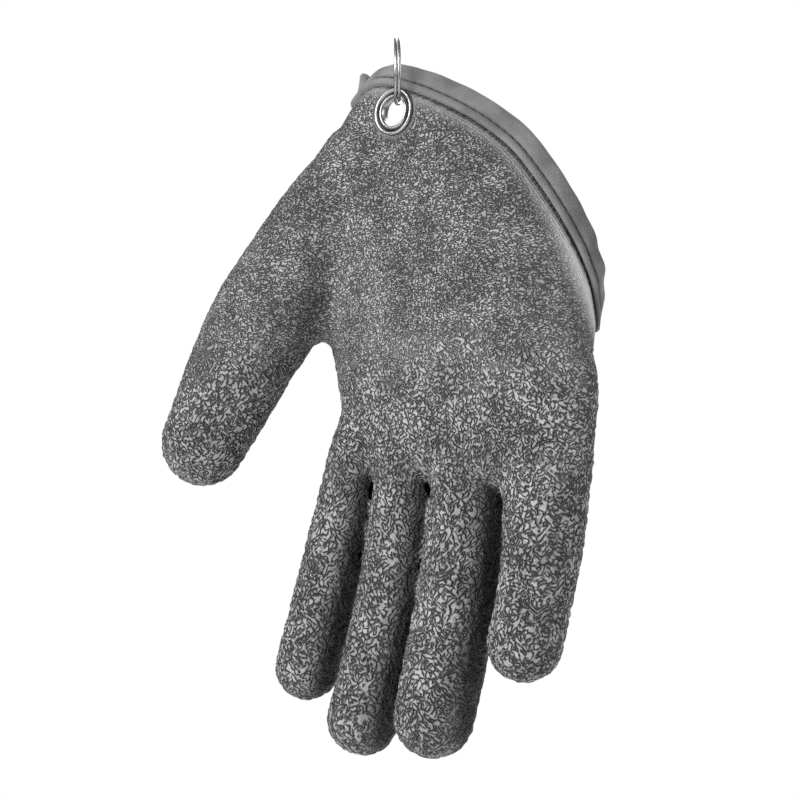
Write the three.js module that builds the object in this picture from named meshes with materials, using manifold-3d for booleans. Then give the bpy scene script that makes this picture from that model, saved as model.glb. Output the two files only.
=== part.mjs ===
// Coated knitted fishing glove for a left hand, seen from its back, hanging fingers down from a split
// ring through the eyelet in its cuff. Millimetres, +Z up, +X to the right, +Y away from the viewer.
// The origin is the inside top of the split ring, where a hook carries it.
import * as THREE from "three";
import { mergeVertices } from "three/addons/utils/BufferGeometryUtils.js";
import Module from "manifold-3d";

const wasm = await Module();
wasm.setup();

// Palm and cuff.
const palmLength = 76.6; // knuckle line to the middle of the cuff's rim
const palmWidth = 93;
const palmDepth = 29;
const palmEndRound = 11;
const cuffWidth = 103;
const cuffDepth = 50;
const cuffArch = 21.6; // how far the near rim is drawn up above the cuff's corners
const handTurn = 35; // degrees, little finger's side towards the viewer
const wristTilt = 41.4; // degrees, cuff bent over to the little finger's side
const cuffLean = 12; // degrees, cuff's mouth leaning away from the viewer
const wall = 1.6; // knit and coating together
const rimLip = 4 * wall; // how far a body's top is level inside the rim
const riseStarts = 0.45; // share of the palm's length above which the drawn-up rim shows
const throughRim = 0.15; // share of the palm's length that the hollow is cut on past the rim

// Fingers: lengths from the knuckle line to the tip, widths across the flat.
const indexLength = 85;
const middleLength = 98.5;
const ringLength = 95.5;
const littleLength = 69;
const indexWidth = 20.4;
const middleWidth = 22.6;
const ringWidth = 25.6;
const littleWidth = 23.4;
const stallDepthShare = 0.96;
const rootDepth = 20; // how far a finger's root reaches up inside the palm
const rootDrawnIn = 0.88; // share of its place and width that a root keeps inside the palm
const rootSunk = 0.55; // share of its depth that a root keeps inside the palm
const stallCut = 17; // stalls start this far below the knuckle line

// Thumb and the web between thumb and palm.
const thumbLength = 103.5;
const thumbWidth = 29;
const thumbDepth = 26;
const thumbTurn = 17.5; // degrees, thumb's little finger side towards the viewer
const thumbStallShare = 0.72; // share of the thumb's path above its own stall
const webWidth = 20;
const webDepth = 17;

// Binding: tape folded over the cuff's raw edge.
const bindingWidth = 7.5;
const bindingThickness = 0.9;
const bindingBevel = 0.4; // share of its thickness that its folded corners lose

// Eyelet, its washer and the split ring.
const eyeletTurn = 0.628; // place round the cuff, in turns
const eyeletFaceLeft = 40; // degrees that the eyelet faces to the thumb's side
const eyeletFaceUp = 8; // degrees that it faces upwards
const seatReach = 27; // how far from its middle the eyelet pulls the cuff flat
const eyeletBore = 9;
const eyeletFlange = 15;
const eyeletSheet = 0.5;
const flangeHeight = 1;
const curlHeight = 0.5;
const curlWidth = 1.2;
const curlShoulder = 0.75; // share of the curl's width at its top
const curlHeel = 0.6; // share of the curl's width at its foot
const washerWidth = 12.8;
const washerThickness = 0.5;
const clothPressed = 0.35; // how deep flange and washer press the cloth in
const ringDiameter = 21;
const wireDiameter = 1;
const ringCrossing = 22; // degrees, half the arc over which the wire steps to its other turn
const ringSlack = 1.3; // height of the bore's top above the ring's wire at its lowest
const ringInBore = 0.52; // share of the bore's length, from its face, at which the ring hangs

// Clearances.
const seatGap = 0.3; // between pieces that touch
const turnGap = 0.12; // between the two turns of the split ring
const eyeletFromBinding = 1.1;

const RIM_SIDES = 38;
const STALL_SIDES = 14;
const THUMB_SIDES = 16;
const WIRE_SIDES = 8;
const WIRE_STEPS = 52;
const EYELET_SIDES = 24;
const PALM_STEPS = 8;
const FINGER_STEPS = 6;

const X = new THREE.Vector3(1, 0, 0);
const Y = new THREE.Vector3(0, 1, 0);
const Z = new THREE.Vector3(0, 0, 1);

const rad = THREE.MathUtils.degToRad;
const lerp = THREE.MathUtils.lerp;
const fullTurn = 2 * Math.PI;

// One smooth value from a table's column, at a place along its rows.
function columnAt(rows, place, column) {
  const last = rows.length - 1;
  let row = 0;
  while (row < last - 1 && place > rows[row + 1].at) row += 1;
  const step = rows[row + 1].at - rows[row].at;
  const share = (place - rows[row].at) / step;
  const slope = (i) => {
    const a = rows[Math.max(0, i - 1)];
    const b = rows[Math.min(last, i + 1)];
    return ((b[column] - a[column]) / (b.at - a.at)) * step;
  };
  const s2 = share * share;
  const s3 = s2 * share;
  return (
    (2 * s3 - 3 * s2 + 1) * rows[row][column] +
    (s3 - 2 * s2 + share) * slope(row) +
    (3 * s2 - 2 * s3) * rows[row + 1][column] +
    (s3 - s2) * slope(row + 1)
  );
}

const smoothStep = (share) => {
  const s = THREE.MathUtils.clamp(share, 0, 1);
  return s * s * (3 - 2 * s);
};

const ringOf = (sides, pointAt) =>
  Array.from({ length: sides }, (_, side) => pointAt(side / sides));

// Positions and triangles as a solid that faces outwards.
function solidOf(positions, index) {
  const corner = (i) => new THREE.Vector3().fromArray(positions, 3 * index[i]);
  let volume = 0;
  for (let i = 0; i < index.length; i += 3)
    volume += corner(i).dot(corner(i + 1).cross(corner(i + 2)));
  if (volume < 0)
    for (let i = 0; i < index.length; i += 3)
      [index[i], index[i + 1]] = [index[i + 1], index[i]];
  const vertProperties = new Float32Array(positions);
  const triVerts = new Uint32Array(index);
  return new wasm.Manifold(new wasm.Mesh({ numProp: 3, vertProperties, triVerts }));
}

// A closed solid through rings of points, each end closed by a fan to a point of its own.
function solidThrough(rings, firstEnd, lastEnd) {
  const sides = rings[0].length;
  const top = (rings.length - 1) * sides;
  const first = rings.length * sides;
  const last = first + 1;
  const positions = [...rings.flat(), firstEnd, lastEnd].flatMap((p) => p.toArray());
  const index = [];
  for (let side = 0; side < sides; side += 1) {
    const next = (side + 1) % sides;
    for (let row = 0; row < top; row += sides) {
      const a = row + side;
      const b = row + next;
      index.push(a, b, b + sides, a, b + sides, a + sides);
    }
    index.push(first, next, side, last, top + side, top + next);
  }
  return solidOf(positions, index);
}

// A closed ring of profiles, the last of which meets the first. A profile is a closed loop of corners,
// each with a point and its place up the cuff. Every patch is cut from its lower corner here to its
// upper corner in the next profile, as in a solid through rings, so facets of the two stay parallel.
function solidAround(profiles) {
  const corners = profiles[0].length;
  const index = [];
  profiles.forEach((profile, step) => {
    const here = step * corners;
    const next = ((step + 1) % profiles.length) * corners;
    profile.forEach((corner, c) => {
      const d = (c + 1) % corners;
      if (corner.place < profile[d].place)
        index.push(here + c, next + c, next + d, here + c, next + d, here + d);
      else index.push(here + c, next + c, here + d, here + d, next + c, next + d);
    });
  });
  return solidOf(profiles.flat().flatMap(({ point }) => point.toArray()), index);
}

// A three.js geometry as a solid, put in place by a matrix.
function solidFrom(geometry, matrix) {
  const bare = geometry.clone();
  bare.deleteAttribute("normal");
  bare.deleteAttribute("uv");
  const merged = mergeVertices(bare, 1e-4).applyMatrix4(matrix);
  const whole = [];
  const corners = [...merged.index.array];
  for (let i = 0; i < corners.length; i += 3) {
    const [a, b, c] = corners.slice(i, i + 3);
    if (a !== b && b !== c && c !== a) whole.push(a, b, c);
  }
  return solidOf([...merged.attributes.position.array], whole);
}

function geometryOf(solid) {
  const mesh = solid.getMesh();
  const geometry = new THREE.BufferGeometry();
  const positions = new Float32Array(mesh.numVert * 3);
  for (let v = 0; v < mesh.numVert; v += 1)
    for (let axis = 0; axis < 3; axis += 1)
      positions[3 * v + axis] = mesh.vertProperties[v * mesh.numProp + axis];
  geometry.setAttribute("position", new THREE.BufferAttribute(positions, 3));
  geometry.setIndex(new THREE.BufferAttribute(mesh.triVerts, 1));
  geometry.computeVertexNormals();
  return geometry;
}

const joined = (solids) => solids.reduce((sum, solid) => sum.add(solid));

// The palm's middle line from the knuckle line (0) to the rim (1): places are shares of palmLength,
// and tilt, turn and lean are shares of wristTilt, handTurn and cuffLean.
const palmPath = [
  { at: 0.0, right: 0.0, away: 0.0, up: 0.0, tilt: 0.11, turn: 1.0, lean: 0.0 },
  { at: 0.14, right: 0.0, away: 0.0, up: 0.13, tilt: 0.14, turn: 1.0, lean: 0.0 },
  { at: 0.31, right: -0.015, away: 0.0, up: 0.312, tilt: 0.29, turn: 0.94, lean: 0.0 },
  { at: 0.5, right: -0.065, away: 0.013, up: 0.504, tilt: 0.46, turn: 0.86, lean: 0.07 },
  { at: 0.68, right: -0.086, away: 0.042, up: 0.684, tilt: 0.63, turn: 0.71, lean: 0.27 },
  { at: 0.84, right: -0.033, away: 0.085, up: 0.838, tilt: 0.81, turn: 0.57, lean: 0.6 },
  { at: 1.0, right: 0.05, away: 0.13, up: 1.0, tilt: 1.0, turn: 0.43, lean: 1.0 },
];

// The palm's sections along that line: wide and deep are shares of the palm's sizes, cuffWide and
// cuffDeep shares of the cuff's. full is a section's fullness: 2 is an oval, more is squarer.
const palmSizes = [
  { at: 0.0, wide: 0.97, cuffWide: 0.0, deep: 0.86, cuffDeep: 0.0, full: 2.6 },
  { at: 0.14, wide: 0.98, cuffWide: 0.0, deep: 0.95, cuffDeep: 0.0, full: 2.6 },
  { at: 0.31, wide: 1.03, cuffWide: 0.0, deep: 1.04, cuffDeep: 0.0, full: 2.5 },
  { at: 0.5, wide: 1.14, cuffWide: 0.0, deep: 1.13, cuffDeep: 0.0, full: 2.3 },
  { at: 0.68, wide: 0.88, cuffWide: 0.27, deep: 0.9, cuffDeep: 0.22, full: 2.1 },
  { at: 0.84, wide: 0.44, cuffWide: 0.64, deep: 0.45, cuffDeep: 0.62, full: 2.0 },
  { at: 1.0, wide: 0.0, cuffWide: 1.0, deep: 0.0, cuffDeep: 1.0, full: 2.0 },
];

// How far the rim stands above the cuff's plane, as shares of cuffArch, by the place round the rim in
// turns: 0 is the little finger's side, 0.25 the far side, 0.5 the thumb's side, 0.75 the near side.
const rimRows = [
  { at: 0.0, rise: -0.03 },
  { at: 0.1, rise: -0.12 },
  { at: 0.25, rise: -0.27 },
  { at: 0.4, rise: -0.13 },
  { at: 0.4375, rise: -0.04 },
  { at: 0.46, rise: 0.14 },
  { at: 0.48, rise: 0.33 },
  { at: 0.5, rise: 0.23 },
  { at: 0.52, rise: 0.24 },
  { at: 0.54, rise: 0.41 },
  { at: 0.56, rise: 0.57 },
  { at: 0.585, rise: 0.66 },
  { at: 0.625, rise: 0.77 },
  { at: 0.667, rise: 0.88 },
  { at: 0.7, rise: 0.945 },
  { at: 0.73, rise: 0.985 },
  { at: 0.76, rise: 0.98 },
  { at: 0.79, rise: 0.9 },
  { at: 0.83, rise: 0.76 },
  { at: 0.87, rise: 0.6 },
  { at: 0.92, rise: 0.36 },
  { at: 0.96, rise: 0.13 },
  { at: 1.0, rise: -0.03 },
];

// The three directions of a section: u to the little finger's side, v away, w towards the wrist.
function sectionAxes(tilt, turn, lean) {
  const flat = new THREE.Vector3(Math.cos(tilt), 0, -Math.sin(tilt));
  const along = new THREE.Vector3(Math.sin(tilt), 0, Math.cos(tilt));
  const u = flat.clone().multiplyScalar(Math.cos(turn)).addScaledVector(Y, -Math.sin(turn));
  const back = Y.clone().multiplyScalar(Math.cos(turn)).addScaledVector(flat, Math.sin(turn));
  const v = back.clone().multiplyScalar(Math.cos(lean)).addScaledVector(along, -Math.sin(lean));
  const w = along.clone().multiplyScalar(Math.cos(lean)).addScaledVector(back, Math.sin(lean));
  return { u, v, w };
}

// The palm's section at a place from the knuckle line to the rim.
function palmSection(place) {
  const path = (column) => columnAt(palmPath, place, column);
  const size = (column) => columnAt(palmSizes, place, column);
  const axes = sectionAxes(
    rad(path("tilt") * wristTilt),
    rad(path("turn") * handTurn),
    rad(path("lean") * cuffLean),
  );
  return {
    ...axes,
    centre: new THREE.Vector3(path("right"), path("away"), path("up")).multiplyScalar(palmLength),
    halfWidth: (size("wide") * palmWidth + size("cuffWide") * cuffWidth) / 2,
    halfDepth: (size("deep") * palmDepth + size("cuffDeep") * cuffDepth) / 2,
    full: size("full"),
  };
}

const knuckles = palmSection(0);
const rimPlane = palmSection(1);

// A cosine or sine bent towards a squarer outline.
const squared = (value, full) => Math.sign(value) * Math.abs(value) ** (2 / full);

// A point of the palm's skin before the eyelet's pull: place along it, turn round it, and how far
// inside its outer face.
function freePoint(place, turn, inset) {
  const section = palmSection(Math.min(place, 1));
  const angle = fullTurn * turn;
  const rise = columnAt(rimRows, turn - Math.floor(turn), "rise") * cuffArch;
  const beyond = Math.max(0, place - 1) * palmLength;
  const risen = rise * smoothStep((place - riseStarts) / (1 - riseStarts));
  return section.centre
    .clone()
    .addScaledVector(section.u, (section.halfWidth - inset) * squared(Math.cos(angle), section.full))
    .addScaledVector(section.v, (section.halfDepth - inset) * squared(Math.sin(angle), section.full))
    .addScaledVector(section.w, beyond + risen);
}

// The eyelet's seat: a point of the cuff's outer face and the direction straight out of it.
function placeBelowRim(turn, distance) {
  const spanTo = (share) => freePoint(1, turn, 0).distanceTo(freePoint(1 - share, turn, 0));
  const guess = distance / palmLength;
  const closer = (guess * distance) / spanTo(guess);
  return 1 - (closer * distance) / spanTo(closer);
}
const bindingPlace = (turn) => placeBelowRim(turn, bindingWidth);
const eyeletBelowRim = bindingWidth + eyeletFromBinding + eyeletFlange / 2;
const seat = freePoint(placeBelowRim(eyeletTurn, eyeletBelowRim), eyeletTurn, 0);
const seatOut = Z.clone().multiplyScalar(Math.sin(rad(eyeletFaceUp)));
seatOut.addScaledVector(X, -Math.sin(rad(eyeletFaceLeft)) * Math.cos(rad(eyeletFaceUp)));
seatOut.addScaledVector(Y, -Math.cos(rad(eyeletFaceLeft)) * Math.cos(rad(eyeletFaceUp)));

// A point of the palm's skin, where the eyelet that the glove hangs by pulls the cuff flat.
function palmPoint(place, turn, inset) {
  const face = freePoint(place, turn, 0);
  const flatTo = eyeletFlange / 2 + seatGap;
  const pull = 1 - smoothStep((face.distanceTo(seat) - flatTo) / (seatReach - flatTo));
  const height = face.sub(seat).dot(seatOut);
  return freePoint(place, turn, inset).addScaledVector(seatOut, -height * pull);
}

// Steps that round off an end along a quarter circle, closer together towards its tip.
const roundSteps = [30, 56, 77].map((degrees) => ({
  out: Math.sin(rad(degrees)),
  cover: Math.cos(rad(degrees)),
}));

// The palm within a face, open or solid to the rim, with its knuckle end rounded off.
function palmBody(inset, endPlace) {
  const round = palmEndRound - inset;
  const endRing = (out, cover) =>
    ringOf(RIM_SIDES, (turn) =>
      palmPoint(0, turn, inset + round * (1 - cover)).addScaledVector(knuckles.w, -round * out),
    );
  const rings = roundSteps.map(({ out, cover }) => endRing(out, cover)).reverse();
  for (let step = 0; step <= PALM_STEPS; step += 1)
    rings.push(
      ringOf(RIM_SIDES, (turn) =>
        palmPoint((step / PALM_STEPS) * bindingPlace(turn), turn, inset),
      ),
    );
  rings.push(ringOf(RIM_SIDES, (turn) => palmPoint(1, turn, inset)));
  const lip = endPlace > 1 ? inset : inset + rimLip;
  rings.push(ringOf(RIM_SIDES, (turn) => palmPoint(endPlace, turn, lip)));
  const end = knuckles.centre.clone().addScaledVector(knuckles.w, -round);
  const mouth = rimPlane.centre.clone().addScaledVector(rimPlane.w, (endPlace - 1) * palmLength);
  return solidThrough(rings, end, mouth);
}

// A limb with round ends along stations that each hold a point, a half width and a half depth.
function limbBody(stations, sides, side, inset) {
  const curve = new THREE.CatmullRomCurve3(stations.map((s) => s.point));
  const last = stations.length - 1;
  const frameAt = (share) => {
    const tangent = curve.getTangent(share);
    const u = side.clone().addScaledVector(tangent, -side.dot(tangent)).normalize();
    const v = new THREE.Vector3().crossVectors(tangent, u).normalize();
    return { tangent, u, v };
  };
  const ringAt = (station, out, cover) => {
    const { tangent, u, v } = frameAt(station / last);
    const halfWidth = (stations[station].halfWidth - inset) * cover;
    const halfDepth = (stations[station].halfDepth - inset) * cover;
    const centre = stations[station].point.clone().addScaledVector(tangent, out);
    return ringOf(sides, (turn) =>
      centre
        .clone()
        .addScaledVector(u, halfWidth * Math.cos(fullTurn * turn))
        .addScaledVector(v, halfDepth * Math.sin(fullTurn * turn)),
    );
  };
  const roundFirst = stations[0].halfDepth - inset;
  const roundLast = stations[last].halfWidth - inset;
  const rings = [
    ...roundSteps.map(({ out, cover }) => ringAt(0, -out * roundFirst, cover)).reverse(),
    ...stations.map((_, station) => ringAt(station, 0, 1)),
    ...roundSteps.map(({ out, cover }) => ringAt(last, out * roundLast, cover)),
  ];
  const first = stations[0].point.clone().addScaledVector(frameAt(0).tangent, -roundFirst);
  const tip = stations[last].point.clone().addScaledVector(frameAt(1).tangent, roundLast);
  return solidThrough(rings, first, tip);
}

// Fingers: the root's place across the knuckles is a share of palmWidth, spread and curl are degrees
// to the thumb's side and away from the viewer.
const fingers = [
  { name: "index", length: indexLength, width: indexWidth, across: -0.413, spread: 14.3, curl: 9.7 },
  { name: "middle", length: middleLength, width: middleWidth, across: -0.209, spread: 10.7, curl: 5.1 },
  { name: "ring", length: ringLength, width: ringWidth, across: 0.035, spread: 8.8, curl: 0.7 },
  { name: "little", length: littleLength, width: littleWidth, across: 0.32, spread: 6.8, curl: 0 },
];

// Each finger's root: wide is a share of the finger's width and deep of the palm's depth. Over flare,
// a share of the finger's length, the root changes to the finger's own size. bow is the share of its
// length that its middle is bent to the little finger's side.
const roots = {
  index: { wide: 0.96, deep: 0.78, flare: 0.45, bow: 0.0 },
  middle: { wide: 0.9, deep: 0.87, flare: 0.45, bow: 0.02 },
  ring: { wide: 0.92, deep: 0.89, flare: 0.45, bow: 0.015 },
  little: { wide: 1.2, deep: 0.86, flare: 0.85, bow: 0.025 },
};

// A finger's stations: one at its root inside the palm, then evenly from the knuckle line to the tip.
function fingerStations(finger) {
  const shape = roots[finger.name];
  const root = knuckles.u.clone().multiplyScalar(finger.across * palmWidth);
  const half = finger.width / 2;
  const reach = finger.length - half;
  const spread = rad(finger.spread);
  const curl = rad(finger.curl);
  const heading = Z.clone().multiplyScalar(-Math.cos(spread) * Math.cos(curl));
  heading.addScaledVector(X, -Math.sin(spread)).addScaledVector(Y, Math.sin(curl));
  const stationAt = (share) => {
    const flare = 1 - smoothStep(share / shape.flare);
    const bow = shape.bow * finger.length * Math.sin(Math.PI * share);
    return {
      point: root.clone().addScaledVector(heading, share * reach).addScaledVector(X, bow),
      halfWidth: lerp(half, half * shape.wide, flare),
      halfDepth: lerp(half * stallDepthShare, (shape.deep * palmDepth) / 2, flare),
    };
  };
  const inside = {
    point: root.clone().multiplyScalar(rootDrawnIn).addScaledVector(knuckles.w, rootDepth),
    halfWidth: stationAt(0).halfWidth * rootDrawnIn,
    halfDepth: stationAt(0).halfDepth * rootSunk,
  };
  return [
    inside,
    ...Array.from({ length: FINGER_STEPS + 1 }, (_, step) => stationAt(step / FINGER_STEPS)),
  ];
}

// The thumb, from its base inside the palm to its tip. The base's place is in shares of the palm's
// sizes, the path's places are shares of thumbLength, and wide and deep are shares of the thumb's.
const thumbBase = { right: -0.333, away: 0.2, up: 1.18 };
const thumbRows = [
  { right: 0.0, away: 0.0, up: 0.0, wide: 0.98, deep: 0.86 },
  { right: -0.048, away: 0.0, up: -0.084, wide: 1.06, deep: 0.95 },
  { right: -0.117, away: 0.005, up: -0.181, wide: 1.13, deep: 1.05 },
  { right: -0.205, away: 0.015, up: -0.319, wide: 1.18, deep: 1.12 },
  { right: -0.307, away: 0.028, up: -0.47, wide: 1.16, deep: 1.12 },
  { right: -0.379, away: 0.038, up: -0.611, wide: 1.12, deep: 1.06 },
  { right: -0.446, away: 0.047, up: -0.752, wide: 1.02, deep: 1.0 },
  { right: -0.494, away: 0.05, up: -0.852, wide: 0.93, deep: 0.94 },
];

const thumbStart = new THREE.Vector3(
  thumbBase.right * palmWidth,
  thumbBase.away * palmWidth,
  thumbBase.up * palmLength,
);
const thumbPoint = ({ right, away, up }) =>
  new THREE.Vector3(right, away, up).multiplyScalar(thumbLength).add(thumbStart);

const thumbStations = thumbRows.map((row) => ({
  point: thumbPoint(row),
  halfWidth: (row.wide * thumbWidth) / 2,
  halfDepth: (row.deep * thumbDepth) / 2,
}));

// The web: a bent limb whose lower edge is the round arch between thumb and palm. Its places are
// shares of thumbLength from the thumb's base.
const webRows = [
  { right: -0.281, away: 0.03, up: -0.569 },
  { right: -0.222, away: 0.03, up: -0.491 },
  { right: -0.129, away: 0.03, up: -0.461 },
  { right: -0.036, away: 0.03, up: -0.491 },
  { right: 0.018, away: 0.02, up: -0.554 },
];

const webStations = webRows.map((row) => ({
  point: thumbPoint(row),
  halfWidth: webWidth / 2,
  halfDepth: webDepth / 2,
}));

const handSide = sectionAxes(0, rad(handTurn), 0).u;
const thumbSide = sectionAxes(0, rad(thumbTurn), 0).u;

const bodyOfThumb = (inset) => limbBody(thumbStations, THUMB_SIDES, thumbSide, inset);
const bodyOfWeb = (inset) => limbBody(webStations, STALL_SIDES, thumbSide, inset);
const bodyOfFinger = (finger, inset) =>
  limbBody(fingerStations(finger), STALL_SIDES, handSide, inset);

// Everything inside a face of the glove: inset 0 is its outer face, and the wall's thickness its lining.
function gloveForm(inset, endPlace) {
  return joined([
    palmBody(inset, endPlace),
    bodyOfThumb(inset),
    bodyOfWeb(inset),
    ...fingers.map((finger) => bodyOfFinger(finger, inset)),
  ]);
}

const shell = gloveForm(0, 1).subtract(gloveForm(wall, 1 + throughRim));

// The side of a plane that its normal points to, as a block far larger than the glove.
function halfSpace(point, normal) {
  const size = 4 * middleLength + 4 * palmLength;
  const block = new THREE.BoxGeometry(size, size, size).translate(0, 0, size / 2);
  const turn = new THREE.Quaternion().setFromUnitVectors(Z, normal);
  return solidFrom(block, new THREE.Matrix4().compose(point, turn, new THREE.Vector3(1, 1, 1)));
}

// Stalls: the shell beyond a cut, which leaves a seat gap to the palm.
const fingersOff = knuckles.w.clone().negate();
const fingerCut = knuckles.centre.clone().addScaledVector(fingersOff, stallCut);
const thumbCurve = new THREE.CatmullRomCurve3(thumbStations.map((s) => s.point));
const thumbCut = thumbCurve.getPoint(thumbStallShare);
const thumbOff = thumbCurve.getTangent(thumbStallShare);

const beyond = (cut, off, gap) => halfSpace(cut.clone().addScaledVector(off, gap), off);

const palmShell = shell
  .subtract(beyond(fingerCut, fingersOff, 0))
  .subtract(bodyOfThumb(-seatGap).intersect(beyond(thumbCut, thumbOff, 0)));

// A lathed piece that stands on the seat, from rows of a distance from the eyelet's axis and a
// height out of the cuff's outer face. The rows go round the piece's section and close on the first.
function seatLathe(rows) {
  const outline = [...rows, rows[0]].map(([radius, height]) => new THREE.Vector2(radius, height));
  const turn = new THREE.Quaternion().setFromUnitVectors(Y, seatOut);
  const matrix = new THREE.Matrix4().compose(seat, turn, new THREE.Vector3(1, 1, 1));
  return solidFrom(new THREE.LatheGeometry(outline, EYELET_SIDES), matrix);
}

// A round block on the eyelet's axis between two heights.
const seatBlock = (radius, low, high) =>
  seatLathe([
    [0, low],
    [radius, low],
    [radius, high],
    [0, high],
  ]);

// Heights of the eyelet's pieces, outwards from the cuff's face: the cloth is pressed flat under the
// flange and under the washer.
const boreRadius = eyeletBore / 2;
const barrelRadius = boreRadius + eyeletSheet;
const flangeRadius = eyeletFlange / 2;
const pressedRadius = flangeRadius + seatGap;
const flangeFoot = seatGap - clothPressed;
const washerTop = clothPressed - wall - seatGap;
const washerFoot = washerTop - washerThickness;
const curlTop = washerFoot - seatGap;
const curlFoot = curlTop - curlHeight;
const clear = 2 * wall;

const palmPiece = palmShell
  .subtract(seatBlock(pressedRadius, -clothPressed, clear))
  .subtract(seatBlock(pressedRadius, -wall - clear, clothPressed - wall))
  .subtract(seatBlock(barrelRadius + seatGap, -clear, clear));

// The eyelet's face between bore and edge, in shares of the flange's width and height: an inner lip,
// a groove and a rolled outer edge.
const flangeFace = [
  { out: 0.0, high: 0.3 },
  { out: 0.08, high: 0.78 },
  { out: 0.2, high: 0.95 },
  { out: 0.33, high: 0.66 },
  { out: 0.46, high: 0.42 },
  { out: 0.6, high: 0.7 },
  { out: 0.78, high: 1.0 },
  { out: 0.94, high: 0.78 },
  { out: 1.0, high: 0.36 },
  { out: 0.93, high: 0.0 },
];
const eyelet = seatLathe([
  ...flangeFace.map(({ out, high }) => [
    lerp(boreRadius, flangeRadius, out),
    flangeFoot + high * flangeHeight,
  ]),
  [barrelRadius, flangeFoot],
  [barrelRadius, curlTop],
  [barrelRadius + curlWidth * curlShoulder, curlTop],
  [barrelRadius + curlWidth, (curlTop + curlFoot) / 2],
  [barrelRadius + curlWidth * curlHeel, curlFoot],
  [barrelRadius, curlFoot],
  [boreRadius, curlTop],
]);

const washerBore = barrelRadius + seatGap;
const washerRadius = washerWidth / 2;
const washer = seatLathe([
  [washerBore, washerFoot],
  [washerRadius, washerFoot],
  [washerRadius, washerTop],
  [washerBore, washerTop],
]);

// Binding: tape folded over the rim, a seat gap off both faces of the cuff's wall and off its edge.
const tapeHeight = seatGap + bindingThickness;
const bevel = bindingBevel * bindingThickness;

// The tape's section at a turn round the rim: up its outer face, over and down its inner face, and
// back up and down along the wall.
function bindingProfile(turn) {
  const corner = (place, inset) => ({ place, point: palmPoint(place, turn, inset) });
  const low = bindingPlace(turn);
  const top = 1 + tapeHeight / palmLength;
  const slotTop = 1 + seatGap / palmLength;
  return [
    corner(low, -tapeHeight),
    corner(1, -tapeHeight),
    corner(top, bevel - tapeHeight),
    corner(top, wall + tapeHeight - bevel),
    corner(1, wall + tapeHeight),
    corner(low, wall + tapeHeight),
    corner(low, wall + seatGap),
    corner(1, wall + seatGap),
    corner(slotTop, wall + seatGap),
    corner(slotTop, -seatGap),
    corner(1, -seatGap),
    corner(low, -seatGap),
  ];
}
const binding = solidAround(ringOf(RIM_SIDES, bindingProfile));

// The split ring: two turns of wire side by side that cross over at the bottom, inside the bore.
const wireRadius = wireDiameter / 2;
const coilRadius = (ringDiameter - wireDiameter) / 2;
const coilPitch = wireDiameter + turnGap;
const crossing = rad(ringCrossing);
const coilCentre = new THREE.Vector3(0, 0, -(coilRadius - wireRadius));
const wireStart = crossing;
const wireEnd = 2 * fullTurn - crossing;

function wireFrame(angle) {
  const step = smoothStep((angle - fullTurn + crossing) / (2 * crossing));
  const out = new THREE.Vector3(0, Math.sin(angle), -Math.cos(angle));
  const point = coilCentre
    .clone()
    .addScaledVector(out, coilRadius)
    .addScaledVector(X, (step - 0.5) * coilPitch);
  return { out, point };
}

const wireRing = (angle) => {
  const { out, point } = wireFrame(angle);
  return ringOf(WIRE_SIDES, (turn) =>
    point
      .clone()
      .addScaledVector(out, wireRadius * Math.cos(fullTurn * turn))
      .addScaledVector(X, wireRadius * Math.sin(fullTurn * turn)),
  );
};

const splitRing = solidThrough(
  Array.from({ length: WIRE_STEPS + 1 }, (_, step) =>
    wireRing(lerp(wireStart, wireEnd, step / WIRE_STEPS)),
  ),
  wireFrame(wireStart).point,
  wireFrame(wireEnd).point,
);

// The glove hangs with the top of its bore on the ring's wire.
const boreTop = seat.clone();
boreTop.addScaledVector(seatOut, lerp(flangeFoot + flangeHeight, curlFoot, ringInBore));
const seatUp = Z.clone().addScaledVector(seatOut, -seatOut.z).normalize();
boreTop.addScaledVector(seatUp, boreRadius);
const wireLow = coilCentre.z - coilRadius + wireRadius;
const hungAt = new THREE.Vector3(0, 0, wireLow + ringSlack).sub(boreTop);

const hanging = new THREE.Group();
const glove = new THREE.Group();
glove.position.copy(hungAt);
hanging.add(glove);

const coat = { color: 0x57585a, roughness: 0.62, metalness: 0 };
const tape = { color: 0x66676a, roughness: 0.9, metalness: 0 };
const nickel = { color: 0xd4d6d8, roughness: 0.18, metalness: 1 };
const steel = { color: 0xc3c6c9, roughness: 0.22, metalness: 1 };

function addPiece(group, name, solid, look) {
  const mesh = new THREE.Mesh(geometryOf(solid), new THREE.MeshStandardMaterial(look));
  mesh.name = name;
  group.add(mesh);
}

addPiece(glove, "palm_body", palmPiece, coat);
fingers.forEach((finger) => {
  const stall = bodyOfFinger(finger, 0)
    .subtract(bodyOfFinger(finger, wall))
    .intersect(beyond(fingerCut, fingersOff, seatGap));
  addPiece(glove, `${finger.name}_stall`, stall, coat);
});
const thumbStall = bodyOfThumb(0)
  .subtract(bodyOfThumb(wall))
  .intersect(beyond(thumbCut, thumbOff, seatGap));
addPiece(glove, "thumb_stall", thumbStall, coat);
addPiece(glove, "cuff_binding", binding, tape);
addPiece(glove, "eyelet_barrel", eyelet, nickel);
addPiece(glove, "eyelet_washer", washer, nickel);
addPiece(hanging, "split_ring", splitRing, steel);

export default hanging;
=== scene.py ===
"""A coated knitted fishing glove that hangs from a split ring through the eyelet in its cuff.

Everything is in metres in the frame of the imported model: +Z up, +X to the little finger's side,
+Y away from the viewer, and the origin at the inside top of the split ring.
"""

import logging
import math
from dataclasses import dataclass
from enum import Enum
from typing import Callable, Union

import bpy
import numpy as np
from mathutils import Euler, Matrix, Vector
from mathutils.kdtree import KDTree


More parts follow.
